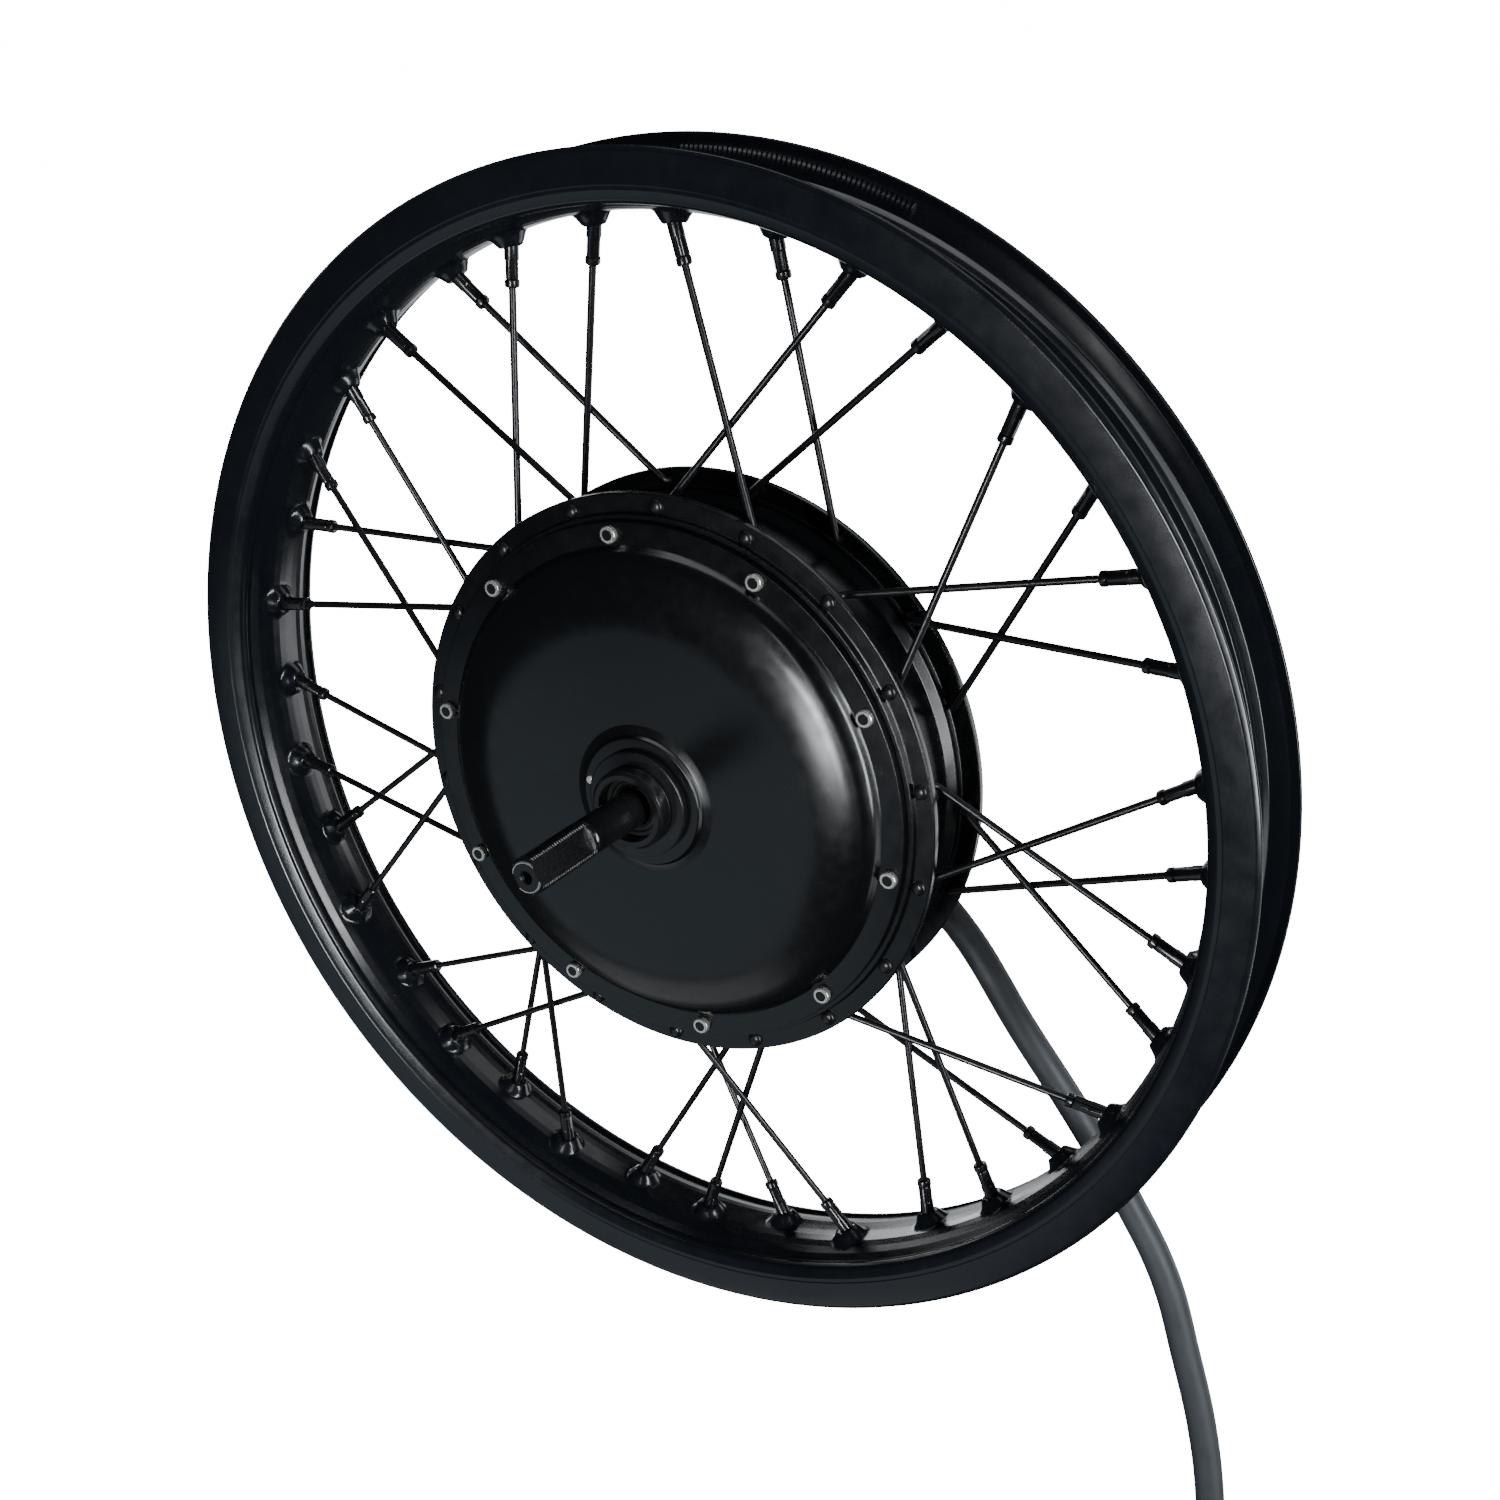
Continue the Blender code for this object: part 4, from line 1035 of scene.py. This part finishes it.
def make_shell():
    half = [
        (DRUM_R, 0.0),
        (DRUM_R, 12.6, 1.0),
        (STEP_R, 15.7, 1.2),
        (STEP_R, FLANGE_IN, 1.6),
        (FLANGE_R - 0.2, FLANGE_IN, 0.5),
        (FLANGE_R - 0.2, FLANGE_OUT, 0.7),
        (STEP_R + 0.6, FLANGE_OUT, 0.4),
        (STEP_R + 0.1, SHELL_END, 0.5),
        (DRUM_BORE_R, SHELL_END),
        (DRUM_BORE_R, 0.0),
    ]
    mirrored = [(p[0], -p[1], *p[2:]) for p in reversed(half[1:-1])]
    mesh = lathe_data(rounded(half + mirrored, 4), 240, name="hub_shell")

    def holes(shape):
        for side, _, hub_angle, _ in lacing():
            start = polar(SPOKE_CIRCLE_R, hub_angle, side * (FLANGE_IN - 1.5))
            end = polar(SPOKE_CIRCLE_R, hub_angle, side * (FLANGE_OUT + 1.5))
            rod(shape, start, end, FLANGE_HOLE_R, 20)

    add_piece("hub_shell_casting", cut(mesh, holes), BLACK_SHELL, "wheel", ["hub_shell"])


def dome_tilt(radius):
    """Slope of the dome at a radius, in degrees, eased between the known ones."""
    for (start, low), (end, high) in zip(DOME_TILTS, DOME_TILTS[1:]):
        if radius < end:
            return low + (high - low) * smoothstep(start, end, radius)
    return DOME_TILTS[-1][1]


def dome():
    """Ring, dome and face of a cover from its edge inwards, as rounded corners."""
    shoulder = []
    radius, height = DOME_TILTS[0][0], DOME_FACE
    while radius < DOME_TILTS[-1][0]:
        shoulder.append((radius, height))
        radius += DOME_STEP
        height -= DOME_STEP * math.tan(math.radians(dome_tilt(radius - DOME_STEP / 2)))
    return [
        (COVER_R, SHELL_END + 0.3),
        (COVER_R, COVER_FACE, 0.5),
        (DOME_FOOT_R, COVER_FACE, 0.3),
        *reversed(shoulder),
    ]


def scallops(shape, side):
    for index in range(SCREWS):
        angle = SCREW_PHASE + 360.0 / SCREWS * index
        start = polar(SCREW_CIRCLE_R, angle, side * (COVER_FACE + 0.02))
        end = polar(SCREW_CIRCLE_R, angle, side * (DOME_FACE + 4.0))
        rod(shape, start, end, SCALLOP_R, 40)


def make_drive_cover():
    outline = dome() + [
        (BOSS_FOOT_R + 1.4, DOME_FACE + 0.1, 1.0),
        (BOSS_R + 1.0, DOME_FACE + 0.9, 1.0),
        (BOSS_R, BOSS_FACE, 0.8),
        (17.8, BOSS_FACE),
        (17.8, 37.0),
        (70.0, 36.2),
        (COVER_BORE_R, 28.5),
        (COVER_BORE_R, SHELL_END + 0.3),
    ]
    profile = [(r, -y) for r, y in rounded(outline, 4)]
    mesh = lathe_data(profile, 240, name="drive_cover", angle=24.0)
    mesh = cut(mesh, lambda shape: scallops(shape, -1), angle=24.0)
    add_piece("drive_cover_casting", mesh, BLACK_COVER, "wheel", ["drive_cover"])


def make_brake_cover():
    outline = dome() + [
        (38.0, DOME_FACE, 3.0),
        (29.5, DOME_FACE + 3.5, 2.0),
        (29.0, DISC_FACE, 0.6),
        (16.8, DISC_FACE, 0.4),
        (16.8, 37.0),
        (70.0, 36.2),
        (COVER_BORE_R, 28.5),
        (COVER_BORE_R, SHELL_END + 0.3),
    ]
    mesh = lathe_data(rounded(outline, 4), 240, name="brake_cover", angle=24.0)

    def holes(shape):
        scallops(shape, 1)
        for index in range(DISC_HOLES):
            angle = 360.0 / DISC_HOLES * (index + 0.5)

            def at(y, angle=angle):
                return polar(DISC_HOLE_CIRCLE_R, angle, y)

            rod(shape, at(42.0), at(DISC_FACE + 2.0), DISC_HOLE_R, 24)
            rod(shape, at(DISC_FACE - 0.5), at(DISC_FACE + 0.1), DISC_HOLE_R, 24, 2.9)

    mesh = cut(mesh, holes, angle=24.0)
    add_piece("brake_cover_casting", mesh, BLACK_COVER, "wheel", ["brake_cover"])


def make_screws():
    """Socket head screws round both covers, all from one mesh."""
    outline = rounded(
        [(0.0, -1.0), (2.0, -1.0), (2.0, 0.05), (3.6, 0.05, 0.15), (3.6, 2.15, 0.3), (3.1, 2.7, 0.2)],
        3,
    )
    outline.append((0.0, 2.7))
    head = lathe_data(outline, 48, closed=False, name="cover_screw", angle=25.0)

    def socket(shape):
        rod(shape, (0.0, 0.5, 0.0), (0.0, 3.2, 0.0), 2.15, 6)
        rod(shape, (0.0, 2.35, 0.0), (0.0, 2.9, 0.0), 1.85, 24, 2.65)

    head = cut(head, socket, angle=25.0)
    for side, side_name in ((-1, "drive"), (1, "brake")):
        for index in range(SCREWS):
            angle = SCREW_PHASE + 360.0 / SCREWS * index
            place = placed(polar(SCREW_CIRCLE_R, angle, side * COVER_FACE), (0.0, side, 0.0))
            twist = Matrix.Rotation(math.radians(SCREW_TWIST * index * index), 4, "Y")
            name = f"{side_name}_cover_screw_{index + 1:02d}"
            add_piece(name, head, SCREW_STEEL, "wheel", (), place @ twist)


# -------- threads and axle

def threaded_data(name, radius, start, end, pitch, depth, bore=0.0, chamfer=1.2, sides=96):
    """A closed bar or tube about Y with a real right-hand thread between start and end."""
    per_pitch = 8
    rows = max(2, round(abs(end - start) / pitch * per_pitch))
    verts = []

    def ring(y, value):
        base = len(verts)
        for step in range(sides):
            turn = 2 * math.pi * step / sides
            size = value(step / sides) if callable(value) else value
            verts.append((size * math.cos(turn), y, size * math.sin(turn)))
        return base

    rings = [ring(start, radius - depth)]
    for row in range(rows + 1):
        y = start + (end - start) * row / rows
        to_end = abs(end - y)
        limit = radius - max(0.0, chamfer - to_end)

        def thread(share, y=y, limit=limit):
            phase = ((y - start) / pitch + share) % 1.0
            wave = min(1.0, max(0.0, 1.7 * abs(2 * phase - 1) - 0.35))
            return min(limit, radius - depth * wave)

        rings.append(ring(y, thread))
    if bore:
        rings += [ring(end, bore), ring(start, bore), rings[0]]
    faces = []
    if not bore:
        faces.append(tuple(range(rings[-1], rings[-1] + sides)))
        faces.append(tuple(reversed(range(rings[0], rings[0] + sides))))
    for lower, upper in zip(rings, rings[1:]):
        for step in range(sides):
            after = (step + 1) % sides
            faces.append((lower + step, lower + after, upper + after, upper + step))
    if end < start:
        faces = [tuple(reversed(face)) for face in faces]
    return outward(mesh_from(name, verts, faces, 38.0))


def make_adapter():
    bore = ADAPTER_BORE_R - 0.1
    flange = [
        (bore, BOSS_FACE + 0.2),
        (ADAPTER_FLANGE_R, BOSS_FACE + 0.2, 0.2),
        (ADAPTER_FLANGE_R, ADAPTER_FACE, 0.7),
        (16.6, ADAPTER_FACE, 0.4),
        (16.6, ADAPTER_FACE + 1.0),
        (bore, ADAPTER_FACE + 1.0),
    ]
    profile = [(r, -y) for r, y in rounded(flange, 4)]
    mesh = lathe_data(profile, 128, name="adapter_flange")
    replaced = ["freewheel_adapter"]
    add_piece("freewheel_adapter_flange", mesh, BLACK_STEEL, "wheel", replaced)
    thread = threaded_data(
        "adapter_thread",
        ADAPTER_THREAD_R,
        -ADAPTER_FACE - 0.9,
        -ADAPTER_END,
        ADAPTER_PITCH,
        depth=0.55,
        bore=ADAPTER_BORE_R,
        chamfer=1.6,
        sides=144,
    )
    add_piece("freewheel_thread", thread, BLACK_STEEL, "wheel")
    sleeve = [(ADAPTER_BORE_R, 37.0), (14.6, 37.0), (14.6, ADAPTER_END - 0.5)]
    sleeve.append((bore, ADAPTER_END - 0.2, 0.2))
    profile = [(r, -y) for r, y in rounded(sleeve, 3)]
    mesh = lathe_data(profile, 96, name="adapter_sleeve")
    add_piece("adapter_sleeve", mesh, BLACK_STEEL, "wheel")


def flats_cut(shape, side):
    length = AXLE_END - FLAT_START + 6.0
    for turn in (0.0, 180.0):
        centre = polar(FLAT_HALF + 5.0, FLAT_ANGLE + turn, side * (FLAT_START + length / 2))
        box_shape(shape, centre, (10.0, length, 24.0), FLAT_ANGLE + turn)


def centre_cut(shape, side):
    rod(shape, (0.0, side * (AXLE_END + 0.5), 0.0), (0.0, side * (AXLE_END - 3.2), 0.0), 3.2, 32, 1.2)


def pilot_cut(shape, side):
    rod(shape, (0.0, side * (AXLE_END - 1.0), 0.0), (0.0, side * (AXLE_END - 7.0), 0.0), 1.5, 24)


def make_axle():
    core = [
        (0.0, -THREAD_START),
        (AXLE_THREAD_FOOT_R, -THREAD_START, 0.3),
        (AXLE_NECK_R, -THREAD_START + 1.0, 0.3),
        (AXLE_NECK_R, -41.0),
        (12.5, -39.5, 0.5),
        (12.5, -24.0),
        (AXLE_BODY_R, -23.0, 0.5),
        (AXLE_BODY_R, 20.3),
        (18.0, 20.3, 0.5),
        (18.0, 23.4, 0.5),
        (AXLE_BODY_R, 23.4),
        (AXLE_BODY_R, 74.8, 0.0),
        (AXLE_BODY_R - 1.2, 76.0, 0.3),
        (AXLE_NECK_R, 76.0, 0.6),
        (AXLE_NECK_R, THREAD_START - 1.0, 0.3),
        (AXLE_THREAD_FOOT_R, THREAD_START, 0.3),
        (0.0, THREAD_START),
    ]
    profile = rounded(core, 4)
    mesh = lathe_data(list(reversed(profile)), 96, closed=False, name="axle_body")

    def wire_way(shape):
        rod(shape, gland_point(9.0), gland_point(26.0), 7.0, 40)

    mesh = cut(mesh, wire_way)
    add_piece("axle_body", mesh, BLACK_STEEL, "stator_axle", ["axle"])
    for side in (-1, 1):
        thread = threaded_data(
            "axle_thread",
            AXLE_R,
            side * THREAD_START,
            side * AXLE_END,
            AXLE_PITCH,
            depth=0.75,
            chamfer=1.7,
        )
        for cuts in (flats_cut, centre_cut, pilot_cut):
            thread = cut(thread, lambda shape, cuts=cuts, side=side: cuts(shape, side), angle=34.0)
        name = "axle_thread_brake_side" if side > 0 else "axle_thread_drive_side"
        add_piece(name, thread, AXLE_THREAD_STEEL, "stator_axle")


def make_pin():
    """Small bare pin in the drive cover's boss."""
    dome_top = rounded([(0.0, -2.0), (1.9, -2.0), (1.9, 0.5, 0.2), (1.7, 1.0, 0.3), (0.8, 1.4, 0.4)], 3)
    data = lathe_data(dome_top + [(0.0, 1.5)], 32, closed=False, name="boss_pin")
    place = placed(polar(PIN_R, PIN_ANGLE, -BOSS_FACE), (0.0, -1.0, 0.0))
    add_piece("boss_pin", data, ZINC, "wheel", (), place)


def make_seals():
    """Lip seals in the two gaps between the fixed axle and the turning hub."""
    drive = rounded(
        [(8.3, 44.0), (13.3, 44.0), (13.3, 48.6, 0.3), (11.6, 48.9, 0.3), (10.8, 47.6, 0.4)]
        + [(9.4, 47.9, 0.5), (8.3, 49.4, 0.3)],
        3,
    )
    drive = [(r, -y) for r, y in drive]
    mesh = lathe_data(drive, 96, name="drive_seal")
    add_piece("drive_lip_seal", mesh, SEAL_RUBBER, "wheel")
    brake = rounded([(15.15, 44.0), (16.7, 44.0), (16.7, 48.4, 0.3), (15.15, 48.8, 0.3)], 3)
    mesh = lathe_data(brake, 96, name="brake_seal")
    add_piece("brake_lip_seal", mesh, SEAL_RUBBER, "wheel")


# -------- carried-over CAD nodes

def dress_frame_nodes():
    finishes = {
        "stator_carrier": ALUMINIUM,
        "stator_core": LAMINATION,
        "windings": COPPER,
        "rotor_magnet_ring": NICKEL,
        "hall_sensor_board": BOARD,
    }
    for side_name in ("drive", "brake"):
        for part in ("inner_race", "outer_race", "cage"):
            finishes[f"{side_name}_bearing_{part}"] = BARE_STEEL
    for node, look in finishes.items():
        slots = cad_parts[node].data.materials
        slots.clear()
        slots.append(look)


make_camera()
make_studio()
make_strain_relief()
make_cable()
make_spokes()
make_rim()
make_shell()
make_drive_cover()
make_brake_cover()
make_screws()
make_adapter()
make_axle()
make_seals()
make_pin()
dress_frame_nodes()
